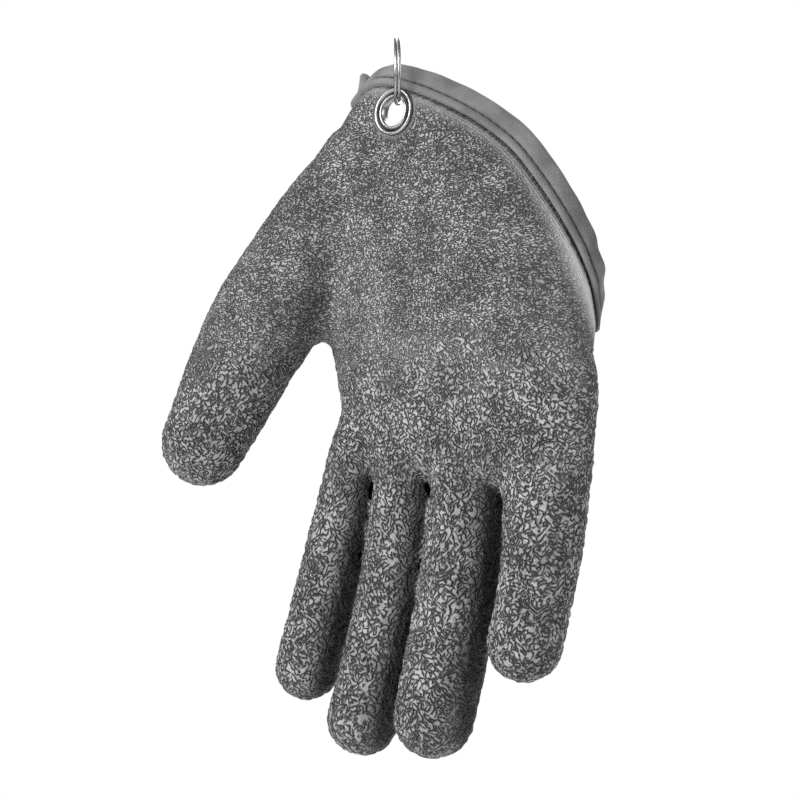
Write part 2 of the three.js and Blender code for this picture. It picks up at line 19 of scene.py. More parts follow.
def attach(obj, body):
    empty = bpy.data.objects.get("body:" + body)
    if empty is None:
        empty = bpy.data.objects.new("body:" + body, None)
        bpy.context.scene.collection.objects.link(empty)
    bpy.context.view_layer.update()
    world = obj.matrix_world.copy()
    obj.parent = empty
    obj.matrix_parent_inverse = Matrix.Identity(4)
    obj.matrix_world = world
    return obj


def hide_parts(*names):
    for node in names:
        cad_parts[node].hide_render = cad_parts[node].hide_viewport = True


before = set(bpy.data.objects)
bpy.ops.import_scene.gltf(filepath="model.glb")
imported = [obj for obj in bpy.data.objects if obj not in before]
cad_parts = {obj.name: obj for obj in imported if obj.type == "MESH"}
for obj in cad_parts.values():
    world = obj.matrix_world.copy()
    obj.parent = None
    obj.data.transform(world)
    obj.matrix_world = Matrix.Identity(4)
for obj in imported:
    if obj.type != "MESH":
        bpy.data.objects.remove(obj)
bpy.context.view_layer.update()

LOG = logging.getLogger("glove")
MM = 0.001
FULL_TURN = 2 * math.pi

Array = np.ndarray
Mesh = bpy.types.Mesh
Object = bpy.types.Object
Socket = bpy.types.NodeSocket
Number = Union[float, Array]


# The form of the hand, in millimetres, from the same sizes as the solids.


@dataclass(frozen=True)
class Table:
    """Rows of named values, read smoothly from row to row."""

    columns: tuple[str, ...]
    rows: tuple[tuple[float, ...], ...]

    def column(self, name: str) -> Array:
        """All values of a column, from the first row to the last."""
        return np.array([row[self.columns.index(name)] for row in self.rows])

    def value(self, place: Number, name: str) -> Array:
        """Reads a column at places along the rows.

        Args:
            place: where to read, in the units of the column "at".
            name: the column.

        Returns:
            One value for each place.
        """
        at, values = self.column("at"), self.column(name)
        last = len(at) - 1
        row = np.clip(np.searchsorted(at, place, side="right") - 1, 0, last - 1)
        low, high = np.maximum(0, np.arange(last + 1) - 1), np.minimum(last, np.arange(last + 1) + 1)
        slope = (values[high] - values[low]) / (at[high] - at[low])
        step = at[row + 1] - at[row]
        share = (place - at[row]) / step
        square, cube = share**2, share**3
        return (
            (2 * cube - 3 * square + 1) * values[row]
            + (cube - 2 * square + share) * slope[row] * step
            + (3 * square - 2 * cube) * values[row + 1]
            + (cube - square) * slope[row + 1] * step
        )


def smooth_step(share: Number) -> Array:
    """Eases from 0 to 1 as share goes from 0 to 1."""
    s = np.clip(share, 0, 1)
    return s * s * (3 - 2 * s)


def unit(vector: Array) -> Array:
    """The vector, or each row of vectors, at length 1."""
    return vector / np.linalg.norm(vector, axis=-1, keepdims=True)


def hill(value: Array, middle: Number, reach: Number) -> Array:
    """A smooth hill of height 1 about a middle."""
    return np.exp(-(((value - middle) / reach) ** 2))


def quarter_turn(steps: int) -> Array:
    """Angles at the middles of equal steps of a quarter turn."""
    return (np.arange(steps) + 0.5) / steps * math.pi / 2


def sweep(middle: Array, first: Array, second: Array, halves: tuple[Array, Array], sides: int) -> Array:
    """Rings of points round a line.

    Args:
        middle: the line's points.
        first: the direction of the rings' first half size, for each point.
        second: the direction of the other half size.
        halves: the two half sizes, for each point.
        sides: points round each ring.

    Returns:
        An array of rings by sides by 3.
    """
    turn = np.arange(sides) / sides * FULL_TURN
    return (
        middle[:, None]
        + first[:, None] * (halves[0][:, None] * np.cos(turn))[..., None]
        + second[:, None] * (halves[1][:, None] * np.sin(turn))[..., None]
    )


PALM_PATH = Table(
    ("at", "right", "away", "up", "tilt", "turn", "lean"),
    (
        (0.0, 0.0, 0.0, 0.0, 0.11, 1.0, 0.0),
        (0.14, 0.0, 0.0, 0.13, 0.14, 1.0, 0.0),
        (0.31, -0.015, 0.0, 0.312, 0.29, 0.94, 0.0),
        (0.5, -0.065, 0.013, 0.504, 0.46, 0.86, 0.07),
        (0.68, -0.086, 0.042, 0.684, 0.63, 0.71, 0.27),
        (0.84, -0.033, 0.085, 0.838, 0.81, 0.57, 0.6),
        (1.0, 0.05, 0.13, 1.0, 1.0, 0.43, 1.0),
    ),
)
PALM_SIZES = Table(
    ("at", "wide", "cuff_wide", "deep", "cuff_deep", "full"),
    (
        (0.0, 0.97, 0.0, 0.86, 0.0, 2.6),
        (0.14, 0.98, 0.0, 0.95, 0.0, 2.6),
        (0.31, 1.03, 0.0, 1.04, 0.0, 2.5),
        (0.5, 1.14, 0.0, 1.13, 0.0, 2.3),
        (0.68, 0.88, 0.27, 0.9, 0.22, 2.1),
        (0.84, 0.44, 0.64, 0.45, 0.62, 2.0),
        (1.0, 0.0, 1.0, 0.0, 1.0, 2.0),
    ),
)
RIM = Table(
    ("at", "rise"),
    (
        (0.0, -0.03), (0.1, -0.12), (0.25, -0.27), (0.4, -0.13), (0.4375, -0.04), (0.46, 0.14),
        (0.48, 0.33), (0.5, 0.23), (0.52, 0.24), (0.54, 0.41), (0.56, 0.57), (0.585, 0.66),
        (0.625, 0.77), (0.667, 0.88), (0.7, 0.945), (0.73, 0.985), (0.76, 0.98), (0.79, 0.9),
        (0.83, 0.76), (0.87, 0.6), (0.92, 0.36), (0.96, 0.13), (1.0, -0.03),
    ),
)
THUMB = Table(
    ("at", "right", "away", "up", "wide", "deep"),
    (
        (0, 0.0, 0.0, 0.0, 0.98, 0.86),
        (1, -0.048, 0.0, -0.084, 1.06, 0.95),
        (2, -0.117, 0.005, -0.181, 1.13, 1.05),
        (3, -0.205, 0.015, -0.319, 1.18, 1.12),
        (4, -0.307, 0.028, -0.47, 1.16, 1.12),
        (5, -0.379, 0.038, -0.611, 1.12, 1.06),
        (6, -0.446, 0.047, -0.752, 1.02, 1.0),
        (7, -0.494, 0.05, -0.852, 0.93, 0.94),
    ),
)
WEB = Table(
    ("at", "right", "away", "up"),
    (
        (0, -0.281, 0.03, -0.569),
        (1, -0.222, 0.03, -0.491),
        (2, -0.129, 0.03, -0.461),
        (3, -0.036, 0.03, -0.491),
        (4, 0.018, 0.02, -0.554),
    ),
)


@dataclass(frozen=True)
class Finger:
    """A finger's sizes: millimetres, degrees, and shares of the hand's sizes."""

    length: float
    width: float
    across: float
    spread: float
    curl: float
    root_wide: float
    root_deep: float
    flare: float
    bow: float


FINGERS = {
    "index": Finger(85, 20.4, -0.413, 14.3, 9.7, 0.96, 0.78, 0.45, 0.0),
    "middle": Finger(98.5, 22.6, -0.209, 10.7, 5.1, 0.9, 0.87, 0.45, 0.02),
    "ring": Finger(95.5, 25.6, 0.035, 8.8, 0.7, 0.92, 0.89, 0.45, 0.015),
    "little": Finger(69, 23.4, 0.32, 6.8, 0, 1.2, 0.86, 0.85, 0.025),
}


@dataclass
class Limb:
    """A round-ended limb: points along it with a half width and a half depth each."""

    points: Array
    half_width: Array
    half_depth: Array
    side: Array

    def rings(self, inset: float, sides: int, steps: int, cap_steps: int) -> Array:
        """Samples the limb's skin.

        Args:
            inset: how far inside its outer face.
            sides: points round each ring.
            steps: rings from one station to the next.
            cap_steps: rings that round off each end.

        Returns:
            Rings of points, as an array of rings by sides by 3.
        """
        last = len(self.points) - 1
        share = np.linspace(0, last, last * steps + 1)
        at = np.arange(last + 1)
        names = ("x", "y", "z", "w", "d")
        columns = np.column_stack([at, self.points, self.half_width, self.half_depth])
        table = Table(("at",) + names, tuple(map(tuple, columns)))
        x, y, z, wide, deep = (table.value(share, name) for name in names)
        centre = np.column_stack([x, y, z])
        tangent = unit(np.gradient(centre, axis=0))
        cap = quarter_turn(cap_steps)
        out, cover = np.sin(cap), np.cos(cap)
        first_round, last_round = deep[0] - inset, wide[-1] - inset
        middle = np.concatenate([
            centre[0] - tangent[0] * (out[::-1, None] * first_round),
            centre,
            centre[-1] + tangent[-1] * (out[:, None] * last_round),
        ])
        along = np.concatenate([
            np.repeat(tangent[:1], cap_steps, 0), tangent, np.repeat(tangent[-1:], cap_steps, 0)
        ])
        halves = tuple(
            np.concatenate([(half[0] - inset) * cover[::-1], half - inset, (half[-1] - inset) * cover])
            for half in (wide, deep)
        )
        across = unit(self.side - along * (along @ self.side)[:, None])
        return sweep(middle, across, np.cross(along, across), halves, sides)


@dataclass
class HandForm:
    """The glove's form in millimetres, with the knuckle line's middle at its own origin."""

    palm_length: float = 76.6
    palm_width: float = 93
    palm_depth: float = 29
    palm_end_round: float = 11
    palm_end_steps: int = 6
    cuff_width: float = 103
    cuff_depth: float = 50
    cuff_arch: float = 21.6
    hand_turn: float = 35
    wrist_tilt: float = 41.4
    cuff_lean: float = 12
    wall: float = 1.6
    rise_starts: float = 0.45
    stall_depth: float = 0.96
    root_depth: float = 20
    root_drawn_in: float = 0.88
    root_sunk: float = 0.55
    thumb_length: float = 103.5
    thumb_width: float = 29
    thumb_depth: float = 26
    thumb_turn: float = 17.5
    thumb_right: float = -0.333
    thumb_away: float = 0.2
    thumb_up: float = 1.18
    web_width: float = 20
    web_depth: float = 17
    binding_width: float = 7.5
    eyelet_turn: float = 0.628
    eyelet_face_left: float = 40
    eyelet_face_up: float = 8
    eyelet_from_binding: float = 1.1
    eyelet_flange: float = 15
    seat_gap: float = 0.3
    seat_reach: float = 27

    def __post_init__(self) -> None:
        """Finds the eyelet's seat, which the cuff is pulled flat to."""
        below = self.binding_width + self.eyelet_from_binding + self.eyelet_flange / 2
        place = self.place_below_rim(self.eyelet_turn, below)
        self.seat = self.free_point(place, self.eyelet_turn, 0)
        left, up = math.radians(self.eyelet_face_left), math.radians(self.eyelet_face_up)
        self.seat_out = np.array([
            -math.sin(left) * math.cos(up), -math.cos(left) * math.cos(up), math.sin(up)
        ])

    def axes(self, tilt: Number, turn: Number, lean: Number) -> tuple[Array, Array, Array]:
        """A section's directions to the little finger's side, away, and towards the wrist."""
        tilt, turn, lean = (np.asarray(angle, float)[..., None] for angle in (tilt, turn, lean))
        right, away, up = np.eye(3)
        flat = np.cos(tilt) * right - np.sin(tilt) * up
        along = np.sin(tilt) * right + np.cos(tilt) * up
        u = np.cos(turn) * flat - np.sin(turn) * away
        back = np.cos(turn) * away + np.sin(turn) * flat
        v = np.cos(lean) * back - np.sin(lean) * along
        w = np.cos(lean) * along + np.sin(lean) * back
        return u, v, w

    def palm_axes(self, place: Number) -> tuple[Array, Array, Array]:
        """The palm section's three directions at a place from the knuckles to the rim."""
        return self.axes(
            np.radians(PALM_PATH.value(place, "tilt") * self.wrist_tilt),
            np.radians(PALM_PATH.value(place, "turn") * self.hand_turn),
            np.radians(PALM_PATH.value(place, "lean") * self.cuff_lean),
        )

    def palm_centre(self, place: Number) -> Array:
        """The palm section's middle at a place from the knuckles to the rim."""
        names = ("right", "away", "up")
        return np.stack([PALM_PATH.value(place, name) for name in names], -1) * self.palm_length

    def free_point(self, place: Number, turn: Number, inset: Number) -> Array:
        """A point of the palm's skin before the eyelet's pull.

        Args:
            place: along the palm, 0 at the knuckles and 1 at the rim.
            turn: round the palm, in turns from the little finger's side.
            inset: how far inside the outer face.

        Returns:
            The points, in millimetres.
        """
        place, turn, inset = np.broadcast_arrays(*(np.asarray(n, float) for n in (place, turn, inset)))
        within = np.minimum(place, 1)
        u, v, w = self.palm_axes(within)
        size = {name: PALM_SIZES.value(within, name) for name in PALM_SIZES.columns[1:]}
        wide = (size["wide"] * self.palm_width + size["cuff_wide"] * self.cuff_width) / 2 - inset
        deep = (size["deep"] * self.palm_depth + size["cuff_deep"] * self.cuff_depth) / 2 - inset
        cosine, sine = np.cos(FULL_TURN * turn), np.sin(FULL_TURN * turn)
        across = np.sign(cosine) * np.abs(cosine) ** (2 / size["full"])
        through = np.sign(sine) * np.abs(sine) ** (2 / size["full"])
        rise = RIM.value(turn - np.floor(turn), "rise") * self.cuff_arch
        risen = rise * smooth_step((place - self.rise_starts) / (1 - self.rise_starts))
        past = np.maximum(0, place - 1) * self.palm_length
        return (
            self.palm_centre(within)
            + u * (wide * across)[..., None]
            + v * (deep * through)[..., None]
            + w * (past + risen)[..., None]
        )

    def place_below_rim(self, turn: Number, distance: Number) -> Array:
        """The place that is a distance below the rim, measured along the skin."""

        def span(share: Number) -> Array:
            """How far a place lies below the rim in a straight line."""
            return np.linalg.norm(self.free_point(1, turn, 0) - self.free_point(1 - share, turn, 0), axis=-1)

        guess = distance / self.palm_length
        closer = guess * distance / span(guess)
        return 1 - closer * distance / span(closer)

    def palm_point(self, place: Number, turn: Number, inset: Number) -> Array:
        """A point of the palm's skin, where the eyelet pulls the cuff flat."""
        face = self.free_point(place, turn, 0)
        flat_to = self.eyelet_flange / 2 + self.seat_gap
        away = np.linalg.norm(face - self.seat, axis=-1)
        pull = 1 - smooth_step((away - flat_to) / (self.seat_reach - flat_to))
        height = (face - self.seat) @ self.seat_out
        return self.free_point(place, turn, inset) - self.seat_out * (height * pull)[..., None]

    def palm_rings(self, inset: float, end_place: float, sides: int, steps: int) -> Array:
        """Rings of the palm's skin from its rounded knuckle end to the rim or past it."""
        turn = np.arange(sides) / sides
        knuckle_w = self.palm_axes(0)[2]
        rounding = self.palm_end_round - inset
        ends = [
            self.palm_point(0, turn, inset + rounding * (1 - math.cos(angle)))
            - knuckle_w * rounding * math.sin(angle)
            for angle in quarter_turn(self.palm_end_steps)[::-1]
        ]
        places = np.linspace(0, 1, steps + 1)
        if end_place > 1:
            places = np.append(places, end_place)
        return np.stack(ends + [self.palm_point(place, turn, inset) for place in places])

    def finger_limb(self, finger: Finger) -> Limb:
        """A finger from its root inside the palm to its tip."""
        u, _, w = self.palm_axes(0)
        root = u * finger.across * self.palm_width
        half = finger.width / 2
        spread, curl = math.radians(finger.spread), math.radians(finger.curl)
        heading = np.array([-math.sin(spread), math.sin(curl), -math.cos(spread) * math.cos(curl)])
        share = np.linspace(0, 1, 7)
        flare = 1 - smooth_step(share / finger.flare)
        bow = finger.bow * finger.length * np.sin(math.pi * share)
        points = root + heading * (share * (finger.length - half))[:, None]
        points[:, 0] += bow
        wide = half + (half * finger.root_wide - half) * flare
        slim = half * self.stall_depth
        deep = slim + (finger.root_deep * self.palm_depth / 2 - slim) * flare
        inside = root * self.root_drawn_in + w * self.root_depth
        return Limb(
            np.vstack([inside, points]),
            np.append(wide[0] * self.root_drawn_in, wide),
            np.append(deep[0] * self.root_sunk, deep),
            self.axes(0, math.radians(self.hand_turn), 0)[0],
        )

    def thumb_points(self, table: Table) -> Array:
        """Points of a table of shares of the thumb's length from its base."""
        base = np.array([
            self.thumb_right * self.palm_width,
            self.thumb_away * self.palm_width,
            self.thumb_up * self.palm_length,
        ])
        return base + np.column_stack([table.column(n) for n in ("right", "away", "up")]) * self.thumb_length

    def thumb_limb(self) -> Limb:
        """The thumb from its base inside the palm to its tip."""
        return Limb(
            self.thumb_points(THUMB),
            THUMB.column("wide") * self.thumb_width / 2,
            THUMB.column("deep") * self.thumb_depth / 2,
            self.axes(0, math.radians(self.thumb_turn), 0)[0],
        )

    def web_limb(self) -> Limb:
        """The round web between thumb and palm."""
        points = self.thumb_points(WEB)
        side = self.axes(0, math.radians(self.thumb_turn), 0)[0]
        count = len(points)
        return Limb(points, np.full(count, self.web_width / 2), np.full(count, self.web_depth / 2), side)

    def limbs(self) -> list[Limb]:
        """The fingers, thumb and web."""
        return [self.finger_limb(f) for f in FINGERS.values()] + [self.thumb_limb(), self.web_limb()]


# Noise and mesh helpers.


class GradientNoise:
    """Smooth seeded noise in space, about -1 to 1, with cells of size 1."""

    entries = 512
    gain = 1.6

    def __init__(self, seed: int) -> None:
        """Draws the directions that the cells' corners have."""
        draw = np.random.default_rng(seed)
        self.order = draw.permutation(self.entries)
        self.slopes = unit(draw.normal(size=(self.entries, 3)))

    def at(self, points: Array) -> Array:
        """The noise at each point."""
        cell = np.floor(points).astype(int)
        offset = points - cell
        fade = offset**3 * (offset * (offset * 6 - 15) + 10)
        total = np.zeros(len(points))
        for corner in np.ndindex(2, 2, 2):
            key = np.zeros(len(points), int)
            for axis in range(3):
                key = self.order[(key + cell[:, axis] + corner[axis]) % self.entries]
            value = np.einsum("ij,ij->i", self.slopes[key], offset - corner)
            weight = np.prod(np.where(np.array(corner) == 1, fade, 1 - fade), axis=1)
            total += weight * value
        return total * self.gain


def linked(name: str, data: bpy.types.ID) -> Object:
    """Puts a mesh, a camera or a light in the scene."""
    made = bpy.data.objects.new(name, data)
    bpy.context.scene.collection.objects.link(made)
    return made


def mesh_object(name: str, points: Array, faces: list) -> Object:
    """Makes a mesh object in the scene.

    Args:
        name: the object's name.
        points: its points in millimetres, placed as the glove hangs.
        faces: tuples of point numbers.

    Returns:
        The new object.
    """
    mesh = bpy.data.meshes.new(name)
    mesh.from_pydata((np.asarray(points) * MM).tolist(), [], faces)
    mesh.update()
    return linked(name, mesh)


def tube_faces(rows: int, sides: int, closed: bool = False) -> list:
    """Quads between rings of points."""
    quads = []
    for row in range(rows if closed else rows - 1):
        here, after = row * sides, (row + 1) % rows * sides
        for side in range(sides):
            next_side = (side + 1) % sides
            quads.append((here + side, here + next_side, after + next_side, after + side))
    return quads


def closed_tube(rings: Array) -> tuple[Array, list]:
    """Points and faces of rings closed by a fan at each end."""
    rows, sides, _ = rings.shape
    points = np.vstack([rings.reshape(-1, 3), rings[0].mean(0), rings[-1].mean(0)])
    faces = tube_faces(rows, sides)
    first, last, top = rows * sides, rows * sides + 1, (rows - 1) * sides
    for side in range(sides):
        next_side = (side + 1) % sides
        faces.append((first, next_side, side))
        faces.append((last, top + side, top + next_side))
    return points, faces


def joined(tubes: list[tuple[Array, list]]) -> tuple[Array, list]:
    """Points and faces of several tubes in one."""
    faces, start = [], 0
    for points, tube in tubes:
        faces += [tuple(start + corner for corner in face) for face in tube]
        start += len(points)
    return np.vstack([points for points, _ in tubes]), faces


def run_lengths(points: Array) -> Array:
    """The length along a line of points, from 0 at the first."""
    return np.append(0, np.cumsum(np.linalg.norm(np.diff(points, axis=0), axis=1)))


def facing(out: Array) -> Euler:
    """The turn that takes +Z to a direction."""
    return Vector(out).to_track_quat("Z", "Y").to_euler()


def apply_modifier(piece: Object, kind: str, **settings: object) -> None:
    """Adds a modifier with these settings and applies it."""
    bpy.ops.object.select_all(action="DESELECT")
    piece.select_set(True)
    bpy.context.view_layer.objects.active = piece
    modifier = piece.modifiers.new(kind.title(), kind)
    for name, value in settings.items():
        setattr(modifier, name, value)
    bpy.ops.object.modifier_apply(modifier=modifier.name)


def read(rows: bpy.types.bpy_prop_collection, name: str, width: int, kind: type = np.float32) -> Array:
    """A property of a mesh's points, edges or corners, one row each."""
    flat = np.zeros(len(rows) * width, kind)
    rows.foreach_get(name, flat)
    return flat.reshape(-1, width)


def points_of(mesh: Mesh) -> Array:
    """A mesh's points as an array."""
    return read(mesh.vertices, "co", 3).astype(float)


def normals_of(mesh: Mesh) -> Array:
    """A mesh's point normals as an array."""
    return read(mesh.vertex_normals, "vector", 3).astype(float)


def set_points(mesh: Mesh, points: Array) -> None:
    """Moves a mesh's points."""
    mesh.vertices.foreach_set("co", points.astype(np.float32).ravel())
    mesh.update()


def neighbour_mean(values: Array, edges: Array) -> Array:
    """The mean of each point's neighbours' values."""
    count = len(values)
    total = np.zeros_like(values)
    for axis in range(values.shape[1]):
        total[:, axis] = np.bincount(edges[:, 0], values[edges[:, 1], axis], count)
        total[:, axis] += np.bincount(edges[:, 1], values[edges[:, 0], axis], count)
    degree = np.bincount(edges.ravel(), minlength=count)
    return total / np.maximum(degree, 1)[:, None]


def set_attribute(mesh: Mesh, name: str, values: Array) -> None:
    """Writes a number per point as an attribute that materials read."""
    mesh.attributes.new(name, "FLOAT", "POINT").data.foreach_set("value", values.astype(np.float32))


def shade_smooth(piece: Object) -> None:
    """Smooth shading on every face."""
    piece.data.polygons.foreach_set("use_smooth", [True] * len(piece.data.polygons))
    piece.data.update()


# Shader nodes.


def operator(operation: str, swapped: bool = False) -> Callable:
    """A Python operator that adds a Math node."""

    def apply(self: "Shade", other: object) -> "Shade":
        """Adds the node for these two values."""
        return self.math(operation, *((other, self) if swapped else (self, other)))

    return apply


class Shade:
    """A shader socket that takes part in Python expressions."""

    __add__ = operator("ADD")
    __radd__ = operator("ADD", swapped=True)
    __sub__ = operator("SUBTRACT")
    __rsub__ = operator("SUBTRACT", swapped=True)
    __mul__ = operator("MULTIPLY")

    def __init__(self, tree: "NodeTree", socket: Socket) -> None:
        """Wraps a socket of a node tree."""
        self.tree = tree
        self.socket = socket

    def math(self, operation: str, *values: object) -> "Shade":
        """Adds a Math node."""
        return self.tree.node("ShaderNodeMath", dict(operation=operation), values)

    def __abs__(self) -> "Shade":
        """The value without its sign."""
        return self.math("ABSOLUTE", self)

    def sine(self) -> "Shade":
        """The sine of the value."""
        return self.math("SINE", self)

    def largest(self, other: object) -> "Shade":
        """The larger of the two values."""
        return self.math("MAXIMUM", self, other)

    def between(self, low: float, high: float) -> "Shade":
        """Eases from 0 at low to 1 at high."""
        settings = dict(interpolation_type="SMOOTHSTEP")
        return self.tree.node("ShaderNodeMapRange", settings, (self, low, high, 0.0, 1.0))


class NodeTree:
    """The nodes of a material or of the world."""

    def __init__(self, tree: bpy.types.NodeTree) -> None:
        """Takes over a tree."""
        self.nodes = tree.nodes
        self.links = tree.links

    def node(self, kind: str, settings: dict, values: object, output: object = 0) -> Shade:
        """Adds a node.

        Args:
            kind: the node's type.
            settings: its settings, set before its sockets.
            values: numbers, colours or links of its inputs, by place or by name.
            output: which of its outputs to use.

        Returns:
            The output as a Shade.
        """
        node = self.nodes.new(kind)
        for name, value in settings.items():
            setattr(node, name, value)
        named = values.items() if isinstance(values, dict) else enumerate(values)
        for key, value in named:
            self.fill(node.inputs[key], value)
        return Shade(self, node.outputs[output])

    def fill(self, socket: Socket, value: object) -> None:
        """Links or sets an input."""
        if isinstance(value, Shade):
            self.links.new(value.socket, socket)
        else:
            socket.default_value = value


class Finish(NodeTree):
    """A procedural material.

    The Mix node's factor, colours and mixed colour go by their numbers, since it repeats their names.
    """

    mix_inputs = (0, 6, 7)
    mix_output = 2

    def __init__(self, name: str) -> None:
        """Starts the material with a Principled shader."""
        self.material = bpy.data.materials.new(name)
        self.material.use_nodes = True
        super().__init__(self.material.node_tree)
        self.shader = self.nodes["Principled BSDF"]

    def object_point(self) -> Shade:
        """The point on the piece."""
        return self.node("ShaderNodeTexCoord", {}, (), "Object")

    def attribute(self, name: str) -> Shade:
        """A number that the mesh holds per point."""
        return self.node("ShaderNodeAttribute", dict(attribute_name=name), (), "Fac")

    def uv_part(self, name: str, axis: str) -> Shade:
        """One part of a UV map."""
        uv = self.node("ShaderNodeUVMap", dict(uv_map=name), ())
        return self.node("ShaderNodeSeparateXYZ", {}, (uv,), axis)

    def noise(self, point: Shade, cell: float, detail: float = 0.0, distortion: float = 0.0) -> Shade:
        """Noise with cells of a size in metres."""
        values = {"Vector": point, "Scale": 1 / cell, "Detail": detail, "Distortion": distortion}
        return self.node("ShaderNodeTexNoise", {}, values, "Fac")

    def mix(self, factor: object, low: object, high: object) -> Shade:
        """Mixes two colours."""
        values = dict(zip(self.mix_inputs, (factor, low, high)))
        return self.node("ShaderNodeMix", dict(data_type="RGBA"), values, self.mix_output)

    def blend(self, factor: Shade, low: object, high: object) -> Shade:
        """A number that goes from low to high with the factor."""
        return low + factor * (high - low)

    def bump(self, height: Shade, distance: float, strength: float = 1.0) -> Shade:
        """A normal from a height of 0 to 1 over a distance in metres."""
        values = {"Height": height, "Distance": distance, "Strength": strength}
        return self.node("ShaderNodeBump", {}, values, "Normal")

    def put(self, **inputs: object) -> None:
        """Sets or links the shader's inputs, named with _ for a space."""
        for name, value in inputs.items():
            self.fill(self.shader.inputs[name.replace("_", " ")], value)


def grey(level: float, warm: float = 0.0) -> tuple[float, float, float, float]:
    """A grey, a little warmer or cooler."""
    return (level * (1 + warm), level, level * (1 - warm), 1.0)


class CrinkledLatex(Finish):
    """Grey latex over knit: short ridges between dark grooves, which fade towards the hem.

    Cells and pitches are in metres, slants in degrees, and edges are where a blend starts and ends.
    """

    cuff_cell, palm_cell, tip_cell = 0.00063, 0.00102, 0.00125
    cuff_slant, left_slant, right_slant = 84, -46, 42
    drawn_out = 1.8
    wander = 0.12
    groove_edges = (-0.02, 0.155)
    slant_cells = 2.6
    slant_edges = (0.46, 0.54)
    border_cell, border_wander = 0.006, 0.6
    palm_edges, tip_edges = (0.12, 0.2), (0.6, 0.68)
    depth_edges, cuff_depth = (0.1, 0.5), 0.8
    patch_edges = (0.35, 0.65)
    grain_cell, patch_cell = 0.0005, 0.011
    rib_pitch = 0.00095
    relief = 0.0014
    skin = (grey(0.19, -0.01), grey(0.29, -0.01))
    worn_cloth = (grey(0.15, -0.01), grey(0.22, -0.01))
    # The light grey of a painted highlight on the bare knit at the little finger's side of the hem.
    painted_highlight_cloth = grey(0.5, -0.01)
    # The dark grey of painted shade in the grooves, in the crease under the tape and in the valleys between
    # the fingers.
    soil, valley_soil = grey(0.01), 0.9

    def drawn(self, point: Shade, slant: float, cell: float) -> Shade:
        """Grooves 0 and ridges 1, drawn out along a direction in the glove's flat plane."""
        settings = {"Vector": point, "Rotation": (0, math.radians(slant), 0), "Scale": (1, 1, self.drawn_out)}
        turned = self.node("ShaderNodeMapping", dict(vector_type="TEXTURE"), settings)
        return abs(self.noise(turned, cell, 0.5, self.wander) - 0.5).between(*self.groove_edges)

    def grooves(self, point: Shade, cell: float) -> Shade:
        """Patches of grooves that slant one way and the other."""
        side = self.noise(point, cell * self.slant_cells).between(*self.slant_edges)
        return self.blend(
            side, self.drawn(point, self.right_slant, cell), self.drawn(point, self.left_slant, cell)
        )

    def __init__(self) -> None:
        """Builds the nodes."""
        super().__init__("crinkled_latex")
        point = self.object_point()
        coat, coarse, crease, valley = (self.attribute(n) for n in ("coat", "coarse", "crease", "valley"))
        cuff = self.drawn(point, self.cuff_slant, self.cuff_cell)
        palm = self.grooves(point, self.palm_cell)
        tips = self.grooves(point, self.tip_cell)
        place = coarse + (self.noise(point, self.border_cell, 1.0) - 0.5) * self.border_wander
        beyond = self.blend(place.between(*self.tip_edges), palm, tips)
        ridge = self.blend(place.between(*self.palm_edges), cuff, beyond)
        grain = self.noise(point, self.grain_cell, 2.0)
        patches = self.noise(point, self.patch_cell, 2.0).between(*self.patch_edges)
        ribs = (self.attribute("below") * (FULL_TURN / self.rib_pitch)).sine() * 0.5 + 0.5
        height = coat * (ridge * 0.9 + grain * 0.12) + (1 - coat) * (ribs * 0.1 + grain * 0.14)
        worn = self.mix(grain.between(*self.patch_edges), *self.worn_cloth)
        # Painted highlight on the bare knit at the little finger's side of the hem.
        bare = self.mix(self.attribute("painted_highlight"), worn, self.painted_highlight_cloth)
        depth = self.blend(place.between(*self.depth_edges), self.cuff_depth, 1.0)
        # Painted shade: the grooves between the ridges, the crease under the tape and the valleys between the
        # fingers are darkened in colour.
        dark = (coat * (1 - ridge) * depth).largest(crease).largest(valley * self.valley_soil)
        self.put(
            Base_Color=self.mix(dark, self.mix(coat, bare, self.mix(patches, *self.skin)), self.soil),
            Roughness=self.blend(coat, 0.8, 0.46 + grain * 0.16),
            Specular_IOR_Level=0.16,
            Normal=self.bump(height, self.relief),
        )


class KnitLining(Finish):
    """The glove's inside: plain undyed knit."""

    def bands(self, direction: str, scale: float, distortion: float) -> Shade:
        """Bands across a direction."""
        values = {"Vector": self.object_point(), "Scale": scale, "Distortion": distortion, "Detail": 1.0}
        return self.node("ShaderNodeTexWave", dict(bands_direction=direction), values, "Fac")

    def __init__(self) -> None:
        """Builds the nodes."""
        super().__init__("knit_lining")
        wales, rows = self.bands("X", 180.0, 1.5), self.bands("Z", 260.0, 2.0)
        fuzz = self.noise(self.object_point(), 0.0008, 3.0)
        height = wales * 0.6 + rows * 0.3 + fuzz * 0.3
        self.put(
            Base_Color=self.mix(height, grey(0.08), grey(0.2)),
            Roughness=0.9 + fuzz * 0.08,
            Normal=self.bump(height, 0.0003),
        )


